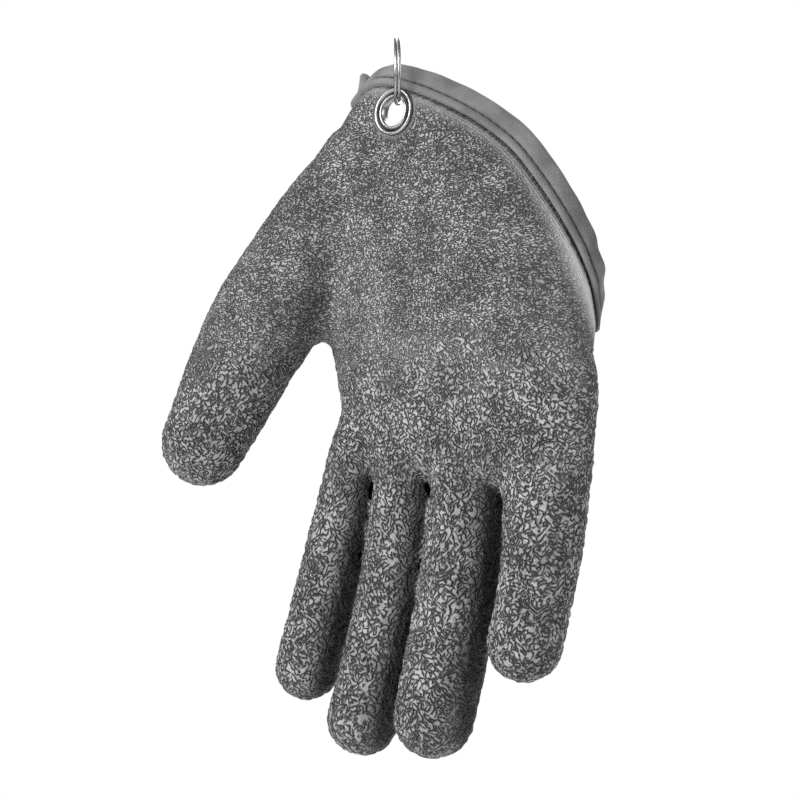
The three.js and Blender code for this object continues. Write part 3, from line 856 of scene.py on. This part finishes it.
class WovenTape(Finish):
    """The hem's grey woven tape, along its own length and width, in metres."""

    yarn_pitch = 0.0007
    relief = 0.00016
    cloth = (grey(0.1, -0.01), grey(0.165, -0.01))
    # The dark grey of painted shade in the sewn channel; the weave and fuzz also darken the tape towards it a
    # little.
    soil, channel_soil = grey(0.04), 0.95

    def __init__(self) -> None:
        """Builds the nodes."""
        super().__init__("woven_tape")
        warp, weft = ((self.uv_part("tape", n) * (FULL_TURN / self.yarn_pitch)).sine() for n in "XY")
        weave = warp * weft * 0.5 + 0.5
        fuzz = self.noise(self.object_point(), 0.0009, 3.0)
        shade = self.noise(self.object_point(), 0.009, 2.0).between(0.3, 0.7)
        height = weave * 0.7 + fuzz * 0.4
        # Painted shade in the sewn channel; the weave and fuzz add a little darkness between the yarns and at
        # random.
        dark = ((1 - weave) * 0.25 + fuzz * 0.12).largest(self.attribute("channel") * self.channel_soil)
        self.put(
            Base_Color=self.mix(dark, self.mix(shade, *self.cloth), self.soil),
            Roughness=0.82 + fuzz * 0.12,
            Sheen_Weight=0.15,
            Sheen_Roughness=0.5,
            Normal=self.bump(height, self.relief),
        )


class SewingThread(Finish):
    """Dark twisted thread."""

    def __init__(self) -> None:
        """Builds the nodes."""
        super().__init__("sewing_thread")
        twist = self.noise(self.object_point(), 0.0004, 2.0, 1.0)
        self.put(
            Base_Color=self.mix(twist, grey(0.02), grey(0.06)),
            Roughness=0.7 + twist * 0.2,
            Normal=self.bump(twist, 0.0001),
        )


@dataclass(frozen=True)
class PlatedMetal:
    """Bright plating with faint handling marks: its colour and how matt it is."""

    name: str
    colour: tuple[float, float, float, float]
    matt: float

    def material(self) -> bpy.types.Material:
        """Builds the material."""
        finish = Finish(self.name)
        point = finish.object_point()
        cloud = finish.noise(point, 0.004, 3.0)
        scratch = finish.noise(point, 0.0005, 4.0, 3.0)
        dull = tuple(part * 0.8 for part in self.colour[:3]) + (1.0,)
        clean = finish.mix(cloud.between(0.45, 0.8) * 0.5, self.colour, dull)
        finish.put(
            # Painted shade in the eyelet flange's groove, from the mesh attribute that marks it.
            Base_Color=finish.mix(finish.attribute("soil"), clean, grey(0.02)),
            Metallic=1.0,
            Roughness=self.matt + cloud * 0.08 + scratch * 0.05,
            Normal=finish.bump(scratch, 0.00003, 0.5),
        )
        return finish.material


class Backdrop(Finish):
    """Plain white paper."""

    def __init__(self) -> None:
        """Builds the nodes."""
        super().__init__("white_paper")
        self.put(Base_Color=(0.95, 0.95, 0.95, 1), Roughness=0.95, Specular_IOR_Level=0.1)


# Sub-assemblies.


class Body(Enum):
    """The bodies that pieces ride on."""

    RING = "ring"
    GLOVE = "glove"


@dataclass
class Hardware:
    """Sizes that the eyelet, washer and split ring share, in millimetres."""

    bore: float = 9
    sheet: float = 0.5
    flange: float = 15
    flange_height: float = 1
    curl_height: float = 0.5
    curl_width: float = 1.2
    washer_width: float = 12.8
    washer_thickness: float = 0.5
    cloth_pressed: float = 0.35
    ring_diameter: float = 21
    wire: float = 1
    turn_gap: float = 0.12
    ring_slack: float = 1.3
    ring_in_bore: float = 0.52
    ring_crossing: float = 22

    def heights(self, hand: HandForm) -> dict[str, float]:
        """Heights of the eyelet's parts, outwards from the cuff's face."""
        flange_foot = hand.seat_gap - self.cloth_pressed
        washer_top = self.cloth_pressed - hand.wall - hand.seat_gap
        washer_foot = washer_top - self.washer_thickness
        curl_top = washer_foot - hand.seat_gap
        return dict(
            flange_foot=flange_foot,
            flange_top=flange_foot + self.flange_height,
            washer_top=washer_top,
            washer_foot=washer_foot,
            curl_top=curl_top,
            curl_foot=curl_top - self.curl_height,
        )

    @property
    def coil_radius(self) -> float:
        """From the split ring's middle to the middle of its wire."""
        return (self.ring_diameter - self.wire) / 2

    @property
    def coil_centre(self) -> Array:
        """The split ring's middle."""
        return np.array([0, 0, self.wire / 2 - self.coil_radius])

    def hung_at(self, hand: HandForm) -> Array:
        """Where the hand form's origin is as the glove hangs with its bore's top on the ring."""
        levels = self.heights(hand)
        depth = levels["flange_top"] + (levels["curl_foot"] - levels["flange_top"]) * self.ring_in_bore
        up = unit(np.array([0, 0, 1]) - hand.seat_out * hand.seat_out[2])
        bore_top = hand.seat + hand.seat_out * depth + up * self.bore / 2
        wire_low = self.coil_centre[2] - self.coil_radius + self.wire / 2
        return np.array([0, 0, wire_low + self.ring_slack]) - bore_top


@dataclass
class Assembly:
    """A part of the glove, with the sizes that it shares with the others."""

    hand: HandForm
    hardware: Hardware

    @property
    def hang(self) -> Array:
        """Where the hand form's origin is as the glove hangs, in millimetres."""
        return self.hardware.hung_at(self.hand)

    @property
    def seat(self) -> Array:
        """The eyelet's seat as the glove hangs, in millimetres."""
        return self.hand.seat + self.hang


def turns_from(turn: Array, middle: float) -> Array:
    """How far places round the rim lie from one of them, the short way round."""
    return ((turn - middle + 0.5) % 1) - 0.5


@dataclass
class GloveSkin(Assembly):
    """The coated knit, from fingertips to rim, as one hollow skin.

    Sizes are in millimetres, and the wide band's place and reach are in turns round the rim.
    """

    skin_cell: float = 0.93
    skin_sides: int = 144
    lining_cell: float = 2.6
    lining_sides: int = 72
    palm_steps: int = 60
    limb_sides: int = 64
    limb_steps: int = 8
    cap_steps: int = 6
    past_rim: float = 0.15
    fillet_passes: int = 18
    fillet_step: float = 0.9
    soften_passes: int = 7
    lining_fillet_passes: int = 4
    lining_soften_passes: int = 2
    soften_steps: tuple[float, float] = (0.55, -0.57)
    warp_seeds: tuple[int, int, int] = (11, 12, 13)
    warp_cell: float = 6.0
    warp_reach: float = 1.2
    ridge_seeds: tuple[int, int] = (21, 22)
    ridge_fine: float = 2.5
    ridge_coarse: float = 3.3
    ridge_height: float = 0.4
    ridge_growth: tuple[float, float] = (0.7, 0.6)
    ridge_edge: float = 0.42
    ridge_level: float = 0.6
    swell_seed: int = 23
    swell_cell: float = 16.0
    swell_height: float = 0.15
    coarse_from: float = 55.0
    coarse_over: float = 100.0
    crease_depth: float = 0.6
    crease_below: float = 0.3
    crease_reach: float = 0.75
    crease_strength: float = 1.4
    # Sizes of the painted shade between the fingers: widths and places in millimetres, and how strong it is.
    valley_width: float = 7.5
    valley_edge: float = 2.0
    valley_drawn: float = 1.6
    valley_start: float = 9.0
    valley_fade: float = 9.0
    valley_strength: float = 1.25
    valley_level: float = 0.95
    valley_by_normal: float = 1.4
    smooth_band: float = 5.0
    smooth_band_wide: float = 12.0
    wide_band_at: float = 0.93
    wide_band_reach: float = 0.09
    coat_from: float = 0.5
    coat_late: float = 0.15
    # Where the painted highlight starts below the tape and how far it grows, in millimetres.
    painted_highlight_from: float = 1.0
    painted_highlight_over: float = 2.0
    map_turns: int = 360
    map_rows: int = 101
    map_depth: float = 30.0
    press_fade: float = 1.6
    press_reach: float = 3.0
    bore_clearance: float = 0.05
    bore_length: float = 8.0

    def solid_form(self, name: str, inset: float, end_place: float, fine: bool) -> Object:
        """Everything within a face of the glove, as one closed even mesh.

        Args:
            name: the object's name.
            inset: how far inside the outer face.
            end_place: where the palm ends, 1 at the rim.
            fine: whether it is for the outer face.

        Returns:
            The remeshed object.
        """
        sides = self.skin_sides if fine else self.lining_sides
        forms = [self.hand.palm_rings(inset, end_place, sides, self.palm_steps)]
        for limb in self.hand.limbs():
            forms.append(limb.rings(inset, self.limb_sides, self.limb_steps, self.cap_steps))
        form = mesh_object(name, *joined([closed_tube(rings + self.hang) for rings in forms]))
        cell = (self.skin_cell if fine else self.lining_cell) * MM
        apply_modifier(form, "REMESH", mode="VOXEL", voxel_size=cell)
        passes = (self.fillet_passes, self.soften_passes)
        self.soften(form.data, *(passes if fine else (self.lining_fillet_passes, self.lining_soften_passes)))
        return form

    def soften(self, mesh: Mesh, fillet_passes: int, soften_passes: int) -> None:
        """Fills sharp valleys, then evens the surface."""
        edges = read(mesh.edges, "vertices", 2, np.int32)
        for _ in range(fillet_passes):
            points, normals = points_of(mesh), normals_of(mesh)
            step = neighbour_mean(points, edges) - points
            outwards = np.maximum(0, np.einsum("ij,ij->i", step, normals))
            set_points(mesh, points + normals * (outwards * self.fillet_step)[:, None])
        points = points_of(mesh)
        for factor in self.soften_steps * soften_passes:
            points += (neighbour_mean(points, edges) - points) * factor
        set_points(mesh, points)

    # These values paint shade in colour along the lines between the fingers.
    def valleys(self, points: Array) -> Array:
        """How close points in metres lie to the lines between the fingers, from 0 to 1."""
        x, _, z = points.T / MM
        sides = []
        for finger in FINGERS.values():
            limb = self.hand.finger_limb(finger)
            line = limb.points[1:] + self.hang
            middle, half = (
                np.interp(-z, -line[:, 2], values) for values in (line[:, 0], limb.half_width[1:])
            )
            sides.append((middle - half, middle + half))
        close = np.zeros(len(points))
        for (_, right), (left, _) in zip(sides, sides[1:]):
            away = x - (right + left) / 2 + self.valley_drawn
            wide = np.where(away < 0, self.valley_width, self.valley_edge)
            close = np.maximum(close, hill(away, 0, wide))
        below = smooth_step((self.hang[2] + self.valley_start - z) / self.valley_fade)
        return np.minimum(1, close * self.valley_strength) * below

    def below_rim(self, points: Array) -> tuple[Array, Array]:
        """Distance below the rim and place round it, for points in metres."""
        rows = np.linspace(0, self.map_depth, self.map_rows)
        turn, below = np.meshgrid(np.arange(self.map_turns) / self.map_turns, rows, indexing="ij")
        places = self.hand.place_below_rim(turn, np.maximum(below, 0.01))
        samples = self.hand.palm_point(places, turn, 0) + self.hang
        flat = samples.reshape(-1, 3) * MM
        tree = KDTree(len(flat))
        for number, sample in enumerate(flat):
            tree.insert(sample, number)
        tree.balance()
        nearest = np.array([tree.find(point)[1] for point in points])
        return below.ravel()[nearest], turn.ravel()[nearest]

    def crinkle(self, skin: Object) -> None:
        """Raises the coating's ridges and writes the attributes that its finish reads."""
        mesh = skin.data
        points, normals = points_of(mesh), normals_of(mesh)
        # Painted shade: heavier on faces that turn to +X, away from the key light.
        normal_share = np.clip(self.valley_level + self.valley_by_normal * normals[:, 0], 0, 1)
        below, turn = self.below_rim(points)
        under_tape = below - self.hand.binding_width
        right_end = hill(turns_from(turn, self.wide_band_at), 0, self.wide_band_reach)
        band = self.smooth_band + (self.smooth_band_wide - self.smooth_band) * right_end
        coat = smooth_step((under_tape - self.coat_from) / band - self.coat_late)
        low = self.hang[2] * MM + self.coarse_from * MM - points[:, 2]
        coarse = smooth_step(low / (self.coarse_over * MM))
        warp = [GradientNoise(seed).at(points / (self.warp_cell * MM)) for seed in self.warp_seeds]
        place = points / MM + np.stack(warp, -1) * self.warp_reach
        cells = (self.ridge_fine, self.ridge_coarse)
        fine, large = (GradientNoise(seed).at(place / cell) for seed, cell in zip(self.ridge_seeds, cells))
        ridge = smooth_step(np.abs(fine * (1 - coarse) + large * coarse) / self.ridge_edge)
        swell = GradientNoise(self.swell_seed).at(points / (self.swell_cell * MM)) * self.swell_height
        tall = self.ridge_height * (self.ridge_growth[0] + self.ridge_growth[1] * coarse)
        height = ((ridge - self.ridge_level) * tall + swell) * coat
        # The crease under the tape's lower edge is a real groove; the crease attribute also darkens its
        # colour as painted shade.
        crease = np.clip(self.crease_strength * hill(under_tape, self.crease_below, self.crease_reach), 0, 1)
        height -= crease * self.crease_depth
        offset = points / MM - self.seat
        out = offset @ self.hand.seat_out
        apart = np.linalg.norm(offset - out[:, None] * self.hand.seat_out, axis=1)
        pressed = 1 - smooth_step((apart - self.hardware.flange / 2) / self.press_fade)
        pressed *= np.abs(out) < self.press_reach
        height = height * (1 - pressed) - pressed * self.hardware.cloth_pressed
        set_points(mesh, points + normals * (height * MM)[:, None])
        attributes = {
            "coat": coat * (1 - pressed),
            "coarse": coarse,
            "crease": crease,
            # painted highlight on the bare knit at the little finger's side of the hem
            "painted_highlight": right_end * smooth_step((under_tape - self.painted_highlight_from) / self.painted_highlight_over),
            # valley: painted shade between the fingers
            "valley": self.valleys(points) * normal_share,
            "below": below * MM,
        }
        for name, values in attributes.items():
            set_attribute(mesh, name, values)

    def bore_cutter(self) -> Object:
        """A short round bar through the near wall, where the eyelet's barrel goes."""
        out = self.hand.seat_out
        bpy.ops.object.select_all(action="DESELECT")
        bpy.ops.mesh.primitive_cylinder_add(
            vertices=96,
            radius=(self.hardware.bore / 2 + self.hardware.sheet + self.bore_clearance) * MM,
            depth=self.bore_length * MM,
            location=(self.seat - out) * MM,
            rotation=facing(out),
        )
        cutter = bpy.context.object
        bpy.ops.object.transform_apply(location=True, rotation=True, scale=True)
        return cutter

    def build(self) -> Object:
        """Models and dresses the skin."""
        skin = self.solid_form("glove_skin", 0, 1, True)
        self.crinkle(skin)
        lining = self.solid_form("lining_cutter", self.hand.wall, 1 + self.past_rim, False)
        skin.data.materials.append(CrinkledLatex().material)
        lining.data.materials.append(KnitLining().material)
        bore = self.bore_cutter()
        bore.data.materials.append(lining.data.materials[0])
        settings = dict(operation="DIFFERENCE", solver="MANIFOLD", material_mode="TRANSFER")
        for cutter in (lining, bore):
            apply_modifier(skin, "BOOLEAN", object=cutter, **settings)
            bpy.data.objects.remove(cutter)
        shade_smooth(skin)
        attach(skin, Body.GLOVE.value)
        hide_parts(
            "palm_body", "index_stall", "middle_stall", "ring_stall", "little_stall", "thumb_stall"
        )
        return skin


@dataclass
class HemTape(Assembly):
    """Tape folded over the rim, with the sewn channel near its lower edge.

    Sizes are in millimetres, and the places and reaches of its ruffle and ear are in turns round the rim.
    """

    thickness: float = 0.85
    stitch_up: float = 2.5
    channel_reach: float = 0.42
    stitch_length: float = 2.1
    stitch_pitch: float = 3.1
    thread: float = 0.34
    turns: int = 760
    ruffle_at: float = 0.905
    ruffle_reach: float = 0.045
    ruffle_count: float = 23.0
    ruffle_height: float = 0.9
    ear_at: float = 0.487
    ear_reach: float = 0.013
    ear_down: float = 5.0
    ear: tuple[float, float, float] = (-2.6, 0.4, 4.2)
    slack_waves: tuple[tuple[float, float, float], ...] = ((0.12, 19, 0), (0.1, 31, 1))
    least_fall: float = 0.25
    uv_gap: float = 0.0005
    stitch_samples: int = 4000
    stitch_sides: int = 6
    stitch_bow: tuple[float, ...] = (-0.25, 0.35, 0.5, 0.35, -0.25)
    stitch_thick: tuple[float, ...] = (0.6, 1.0, 1.0, 1.0, 0.6)

    def ruffle(self, turn: Array) -> Array:
        """How far the tape waves out at the little finger's corner, in millimetres."""
        window = hill(turns_from(turn, self.ruffle_at), 0, self.ruffle_reach)
        angle = FULL_TURN * turn
        slack = sum(height * np.sin(angle * count + start) for height, count, start in self.slack_waves)
        return window * self.ruffle_height * np.sin(angle * self.ruffle_count) + slack

    def section(self) -> Array:
        """The tape's section: rows of a distance below the rim, a height off the wall and a side.

        Side is 1 on the outer face, 0 at the fold and -1 on the inner face.
        """
        low, up, thick = self.hand.binding_width, self.stitch_up, self.thickness
        shares = [
            (low + 0.1, 0.4), (low - 0.05, 0.95), (low - 0.35, 1.35), (low - 0.85, 1.6), (low - 1.4, 1.5),
            (low - up + 0.5, 0.95), (low - up + 0.15, 0.4), (low - up - 0.15, 0.35), (low - up - 0.5, 0.85),
            (low - up - 1.1, 1.3), (low - up - 2.2, 1.3), (1.2, 1.1), (0.3, 1.05),
        ]
        outer = [(low, 0.06)] + [(below, share * thick) for below, share in shares]
        fold = [(-0.45, 0.8), (-0.85, 0.4), (-0.98, 0.0), (-0.85, -0.4), (-0.45, -0.8)]
        rows = [(below, height, 1.0) for below, height in outer]
        rows += [(below * thick, thick, side) for below, side in fold]
        rows += [(below, height, -1.0) for below, height in reversed(outer)]
        return np.array(rows)

    def surface(self, turn: Array, below: Array, height: Array, side: Array) -> Array:
        """Points of the tape, placed as the glove hangs, in millimetres."""
        wall = self.hand.wall
        place = np.where(
            below > 0.01,
            self.hand.place_below_rim(turn, np.maximum(below, 0.01)),
            1 - below / self.hand.palm_length,
        )
        inset = wall / 2 - side * (wall / 2 + height)
        fall = np.clip(1 - below / self.hand.binding_width, self.least_fall, 1)
        points = self.hand.palm_point(place, turn, inset - self.ruffle(turn) * fall)
        lift = hill(turn, self.ear_at, self.ear_reach) * np.clip(1 - below / self.ear_down, 0, 1)
        return points + lift[..., None] * np.array(self.ear) + self.hang

    def tape(self) -> Object:
        """The folded tape, closed all round."""
        rows = self.section()
        places = np.arange(self.turns) / self.turns
        turn, number = np.meshgrid(places, np.arange(len(rows)), indexing="ij")
        below, height, side = rows[number].transpose(2, 0, 1)
        points = self.surface(turn, below, height, side)
        faces = tube_faces(self.turns, len(rows), closed=True)
        piece = mesh_object("hem_tape", points.reshape(-1, 3), faces)
        self.map_tape(piece.data, points)
        # The channel attribute paints shade into the sewn channel.
        in_channel = hill(below, self.hand.binding_width - self.stitch_up, self.channel_reach)
        set_attribute(piece.data, "channel", in_channel.ravel())
        piece.data.materials.append(WovenTape().material)
        shade_smooth(piece)
        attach(piece, Body.GLOVE.value)
        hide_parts("cuff_binding")
        return piece

    def map_tape(self, mesh: Mesh, points: Array) -> None:
        """Writes the UV map: metres along the rim and across the tape."""
        turns, columns = points.shape[:2]
        across = run_lengths(points[0]) * MM
        ring = points[:, columns // 2]
        along = run_lengths(np.vstack([ring, ring[:1]])) * MM
        corners = read(mesh.loops, "vertex_index", 1, np.int32).ravel()
        row, column = corners // columns, corners % columns
        row_end, column_end = (
            np.repeat(np.ptp(part.reshape(-1, 4), axis=1) > 1, 4) & (part == 0) for part in (row, column)
        )
        u = along[np.where(row_end, turns, row)]
        v = np.where(column_end, across[-1] + self.uv_gap, across[column])
        layer = mesh.uv_layers.new(name="tape")
        layer.data.foreach_set("uv", np.column_stack([u, v]).astype(np.float32).ravel())

    def stitches(self) -> Object:
        """Running stitches in the channel on both faces of the tape."""
        turn = np.arange(self.stitch_samples) / self.stitch_samples
        below = np.full_like(turn, self.hand.binding_width - self.stitch_up)
        tubes = []
        for side in (1.0, -1.0):
            sides = np.full_like(turn, side)
            heights = (np.full_like(turn, share * self.thickness) for share in (0.5, 1))
            line, lift = (self.surface(turn, below, height, sides) for height in heights)
            length = run_lengths(np.vstack([line, line[:1]]))
            count = int(length[-1] / self.stitch_pitch)
            for number in range(count):
                start = length[-1] * number / count
                places = start + self.stitch_length * np.linspace(0, 1, len(self.stitch_bow))
                spots = np.searchsorted(length, places) % len(turn)
                tubes.append(self.one_stitch(line[spots], lift[spots]))
        piece = mesh_object("hem_stitches", *joined(tubes))
        piece.data.materials.append(SewingThread().material)
        shade_smooth(piece)
        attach(piece, Body.GLOVE.value)
        return piece

    def one_stitch(self, line: Array, lift: Array) -> tuple[Array, list]:
        """A short bowed thread along the line, which dips into the tape at both ends."""
        out = unit(lift - line)
        bow = np.array(self.stitch_bow) * self.thread
        middle = line + out * bow[:, None]
        tangent = unit(np.gradient(middle, axis=0))
        across = unit(np.cross(tangent, out))
        thick = np.array(self.stitch_thick) * self.thread / 2
        through = np.cross(across, tangent)
        return closed_tube(sweep(middle, across, through, (thick, thick), self.stitch_sides))

    def build(self) -> list[Object]:
        """Models and dresses the tape and its stitches."""
        return [self.tape(), self.stitches()]


@dataclass
class Eyelet(Assembly):
    """The eyelet with its rolled flange, and the washer that it is curled over."""

    steps: int = 96
    weld: float = 0.000002
    sharp_angle: float = 50.0
    # Where the painted shade in the flange's groove lies and how wide it is, as shares from the bore to the
    # rim.
    groove_at: float = 0.46
    groove_width: float = 0.13

    def flange_face(self) -> list[tuple[float, float]]:
        """Distances from the axis and heights of the eyelet's section, in millimetres."""
        hw, level = self.hardware, self.hardware.heights(self.hand)
        bore, barrel, rim = hw.bore / 2, hw.bore / 2 + hw.sheet, hw.flange / 2
        shares = (
            (0.0, 0.3), (0.03, 0.58), (0.08, 0.78), (0.14, 0.9), (0.2, 0.93), (0.26, 0.86), (0.33, 0.6),
            (0.4, 0.3), (0.46, 0.16), (0.52, 0.3), (0.6, 0.62), (0.69, 0.88), (0.78, 0.99), (0.86, 0.96),
            (0.94, 0.78), (0.985, 0.58), (1.0, 0.36), (0.985, 0.14), (0.93, 0.0),
        )
        foot = level["flange_foot"]
        face = [(bore + (rim - bore) * out, foot + high * hw.flange_height) for out, high in shares]
        middle = (level["curl_top"] + level["curl_foot"]) / 2
        return face + [
            (barrel, foot),
            (barrel, level["curl_top"]),
            (barrel + hw.curl_width * 0.75, level["curl_top"]),
            (barrel + hw.curl_width, middle),
            (barrel + hw.curl_width * 0.6, level["curl_foot"]),
            (barrel, level["curl_foot"]),
            (bore, level["curl_top"]),
        ]

    def washer_face(self) -> list[tuple[float, float]]:
        """Distances from the axis and heights of the washer's section, in millimetres."""
        hw, level = self.hardware, self.hardware.heights(self.hand)
        inner, outer, edge = hw.bore / 2 + hw.sheet + self.hand.seat_gap, hw.washer_width / 2, 0.12
        low, high = level["washer_foot"], level["washer_top"]
        return [
            (inner, low + edge), (inner + edge, low), (outer - edge, low), (outer, low + edge),
            (outer, high - edge), (outer - edge, high), (inner + edge, high), (inner, high - edge),
        ]

    def spun(self, name: str, section: list[tuple[float, float]], metal: PlatedMetal) -> Object:
        """Spins a section about the eyelet's axis.

        Args:
            name: the piece's name.
            section: distances from the axis and heights, in millimetres, round the section.
            metal: its finish.

        Returns:
            The finished piece.
        """
        bpy.ops.object.select_all(action="DESELECT")
        bpy.ops.mesh.primitive_plane_add(size=MM, location=(0, 0, 0))
        piece = bpy.context.object
        piece.name = piece.data.name = name
        bpy.ops.object.mode_set(mode="EDIT")
        bpy.ops.mesh.select_all(action="SELECT")
        bpy.ops.mesh.merge(type="CENTER")
        first = section[0]
        bpy.ops.transform.translate(value=(first[0] * MM, 0, first[1] * MM))
        for before, after in zip(section, section[1:] + section[:1]):
            step = ((after[0] - before[0]) * MM, 0, (after[1] - before[1]) * MM)
            bpy.ops.mesh.extrude_region_move(TRANSFORM_OT_translate={"value": step})
        bpy.ops.mesh.select_all(action="SELECT")
        bpy.ops.mesh.remove_doubles(threshold=self.weld)
        bpy.ops.mesh.spin(steps=self.steps, angle=FULL_TURN, center=(0, 0, 0), axis=(0, 0, 1))
        bpy.ops.mesh.select_all(action="SELECT")
        bpy.ops.mesh.remove_doubles(threshold=self.weld)
        bpy.ops.mesh.normals_make_consistent(inside=False)
        bpy.ops.object.mode_set(mode="OBJECT")
        self.painted_shade_groove(piece.data)
        piece.rotation_euler = facing(self.hand.seat_out)
        piece.location = self.seat * MM
        bpy.ops.object.transform_apply(location=True, rotation=True, scale=True)
        bpy.ops.object.shade_smooth_by_angle(angle=math.radians(self.sharp_angle))
        piece.data.materials.append(metal.material())
        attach(piece, Body.GLOVE.value)
        return piece

    def painted_shade_groove(self, mesh: Mesh) -> None:
        """Marks the flange's groove for painted shade, while the eyelet still stands upright at the origin.
        """
        x, y, z = points_of(mesh).T / MM
        share = (np.hypot(x, y) * 2 - self.hardware.bore) / (self.hardware.flange - self.hardware.bore)
        set_attribute(mesh, "soil", hill(share, self.groove_at, self.groove_width) * (z > 0))

    def build(self) -> list[Object]:
        """Models and dresses the eyelet and its washer."""
        nickel = PlatedMetal("nickel_plate", (0.34, 0.34, 0.335, 1), 0.28)
        bright = PlatedMetal("washer_plate", (0.8, 0.8, 0.79, 1), 0.25)
        eyelet = self.spun("eyelet", self.flange_face(), nickel)
        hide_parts("eyelet_barrel")
        washer = self.spun("washer", self.washer_face(), bright)
        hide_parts("eyelet_washer")
        return [eyelet, washer]


@dataclass
class SplitRing:
    """Two turns of wire side by side that cross over inside the bore."""

    hardware: Hardware
    steps: int = 260
    sides: int = 20
    end_thinned: float = 0.8

    def build(self) -> Object:
        """Models and dresses the ring."""
        hw = self.hardware
        crossing = math.radians(hw.ring_crossing)
        angle = np.linspace(crossing, 2 * FULL_TURN - crossing, self.steps)
        step = smooth_step((angle - FULL_TURN + crossing) / (2 * crossing))
        out = np.column_stack([np.zeros_like(angle), np.sin(angle), -np.cos(angle)])
        middle = hw.coil_centre + out * hw.coil_radius
        middle[:, 0] += (step - 0.5) * (hw.wire + hw.turn_gap)
        tangent = unit(np.gradient(middle, axis=0))
        across = unit(np.cross(tangent, out))
        radius = np.full(self.steps, hw.wire / 2)
        radius[[0, -1]] *= self.end_thinned
        rings = sweep(middle, np.cross(across, tangent), across, (radius, radius), self.sides)
        ring = mesh_object("split_ring_wire", *closed_tube(rings))
        shade_smooth(ring)
        ring.data.materials.append(PlatedMetal("spring_wire", (0.32, 0.325, 0.33, 1), 0.28).material())
        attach(ring, Body.RING.value)
        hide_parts("split_ring")
        return ring


@dataclass
class Studio:
    """Camera, backdrop and soft light."""

    frame_width: float = 0.248
    middle: tuple[float, float] = (0.00078, -0.1113)
    lens: float = 200.0
    sensor: float = 36.0
    floor: float = -0.36
    floor_size: float = 1.3
    sky_heights: tuple[float, float] = (-0.6, 0.8)

    def camera(self) -> None:
        """A long lens that looks straight along +Y."""
        data = bpy.data.cameras.new("camera")
        data.lens, data.sensor_width = self.lens, self.sensor
        data.clip_start, data.clip_end = 0.05, 20
        camera = linked("camera", data)
        distance = self.frame_width * self.lens / self.sensor
        camera.location = (self.middle[0], -distance, self.middle[1])
        camera.rotation_euler = (math.pi / 2, 0, 0)
        bpy.context.scene.camera = camera

    def backdrop(self) -> None:
        """A plain white floor, below what the camera sees."""
        bpy.ops.object.select_all(action="DESELECT")
        bpy.ops.mesh.primitive_plane_add(size=self.floor_size, location=(0, 0, self.floor))
        floor = bpy.context.object
        floor.name = "floor"
        bpy.ops.object.transform_apply(location=True, rotation=True, scale=True)
        floor.data.materials.append(Backdrop().material)

    def light(self, name: str, place: tuple[float, float, float], size: float, power: float) -> None:
        """A soft square light that faces the glove."""
        data = bpy.data.lights.new(name, "AREA")
        data.size, data.energy = size, power
        lamp = linked(name, data)
        lamp.location = place
        aim = Vector((self.middle[0], 0, self.middle[1])) - Vector(place)
        lamp.rotation_euler = aim.to_track_quat("-Z", "Y").to_euler()

    def sky(self, low: float, high: float) -> None:
        """White paper behind, and soft light that grows from the floor to overhead."""
        world = bpy.data.worlds.new("studio")
        world.use_nodes = True
        tree = NodeTree(world.node_tree)
        paper = tree.nodes["Background"]
        tree.fill(paper.inputs["Color"], (1, 1, 1, 1))
        tree.fill(paper.inputs["Strength"], 1.0)
        point = tree.node("ShaderNodeTexCoord", {}, (), "Generated")
        up = tree.node("ShaderNodeSeparateXYZ", {}, (point,), "Z")
        strength = tree.node("ShaderNodeMapRange", {}, (up, *self.sky_heights, low, high))
        soft = tree.node("ShaderNodeBackground", {}, {"Strength": strength})
        seen = tree.node("ShaderNodeLightPath", {}, (), "Is Camera Ray")
        chosen = tree.node("ShaderNodeMixShader", {}, (seen, soft, Shade(tree, paper.outputs[0])))
        tree.fill(tree.nodes["World Output"].inputs["Surface"], chosen)
        bpy.context.scene.world = world
        bpy.context.scene.view_settings.view_transform = "Standard"

    def build(self) -> None:
        """Sets up the studio."""
        self.camera()
        self.backdrop()
        self.light("key", (-0.8, -0.65, 0.4), 0.8, 26)
        self.light("fill", (0.95, -0.2, 0.1), 0.5, 5)
        self.light("back", (0.4, 1.1, 0.5), 0.8, 12)
        self.sky(0.05, 0.4)


def main() -> None:
    """Builds the scene piece by piece."""
    logging.basicConfig(level=logging.INFO, format="%(name)s: %(message)s")
    Studio().build()
    hand, hardware = HandForm(), Hardware()
    builders: tuple[tuple[str, Callable], ...] = (
        ("split ring", SplitRing(hardware).build),
        ("eyelet and washer", Eyelet(hand, hardware).build),
        ("hem tape", HemTape(hand, hardware).build),
        ("glove skin", GloveSkin(hand, hardware).build),
    )
    for name, build in builders:
        made = build()
        for piece in made if isinstance(made, list) else [made]:
            piece.data.calc_loop_triangles()
            LOG.info("%s: %s, %d triangles", name, piece.name, len(piece.data.loop_triangles))


if __name__ == "__main__":
    main()
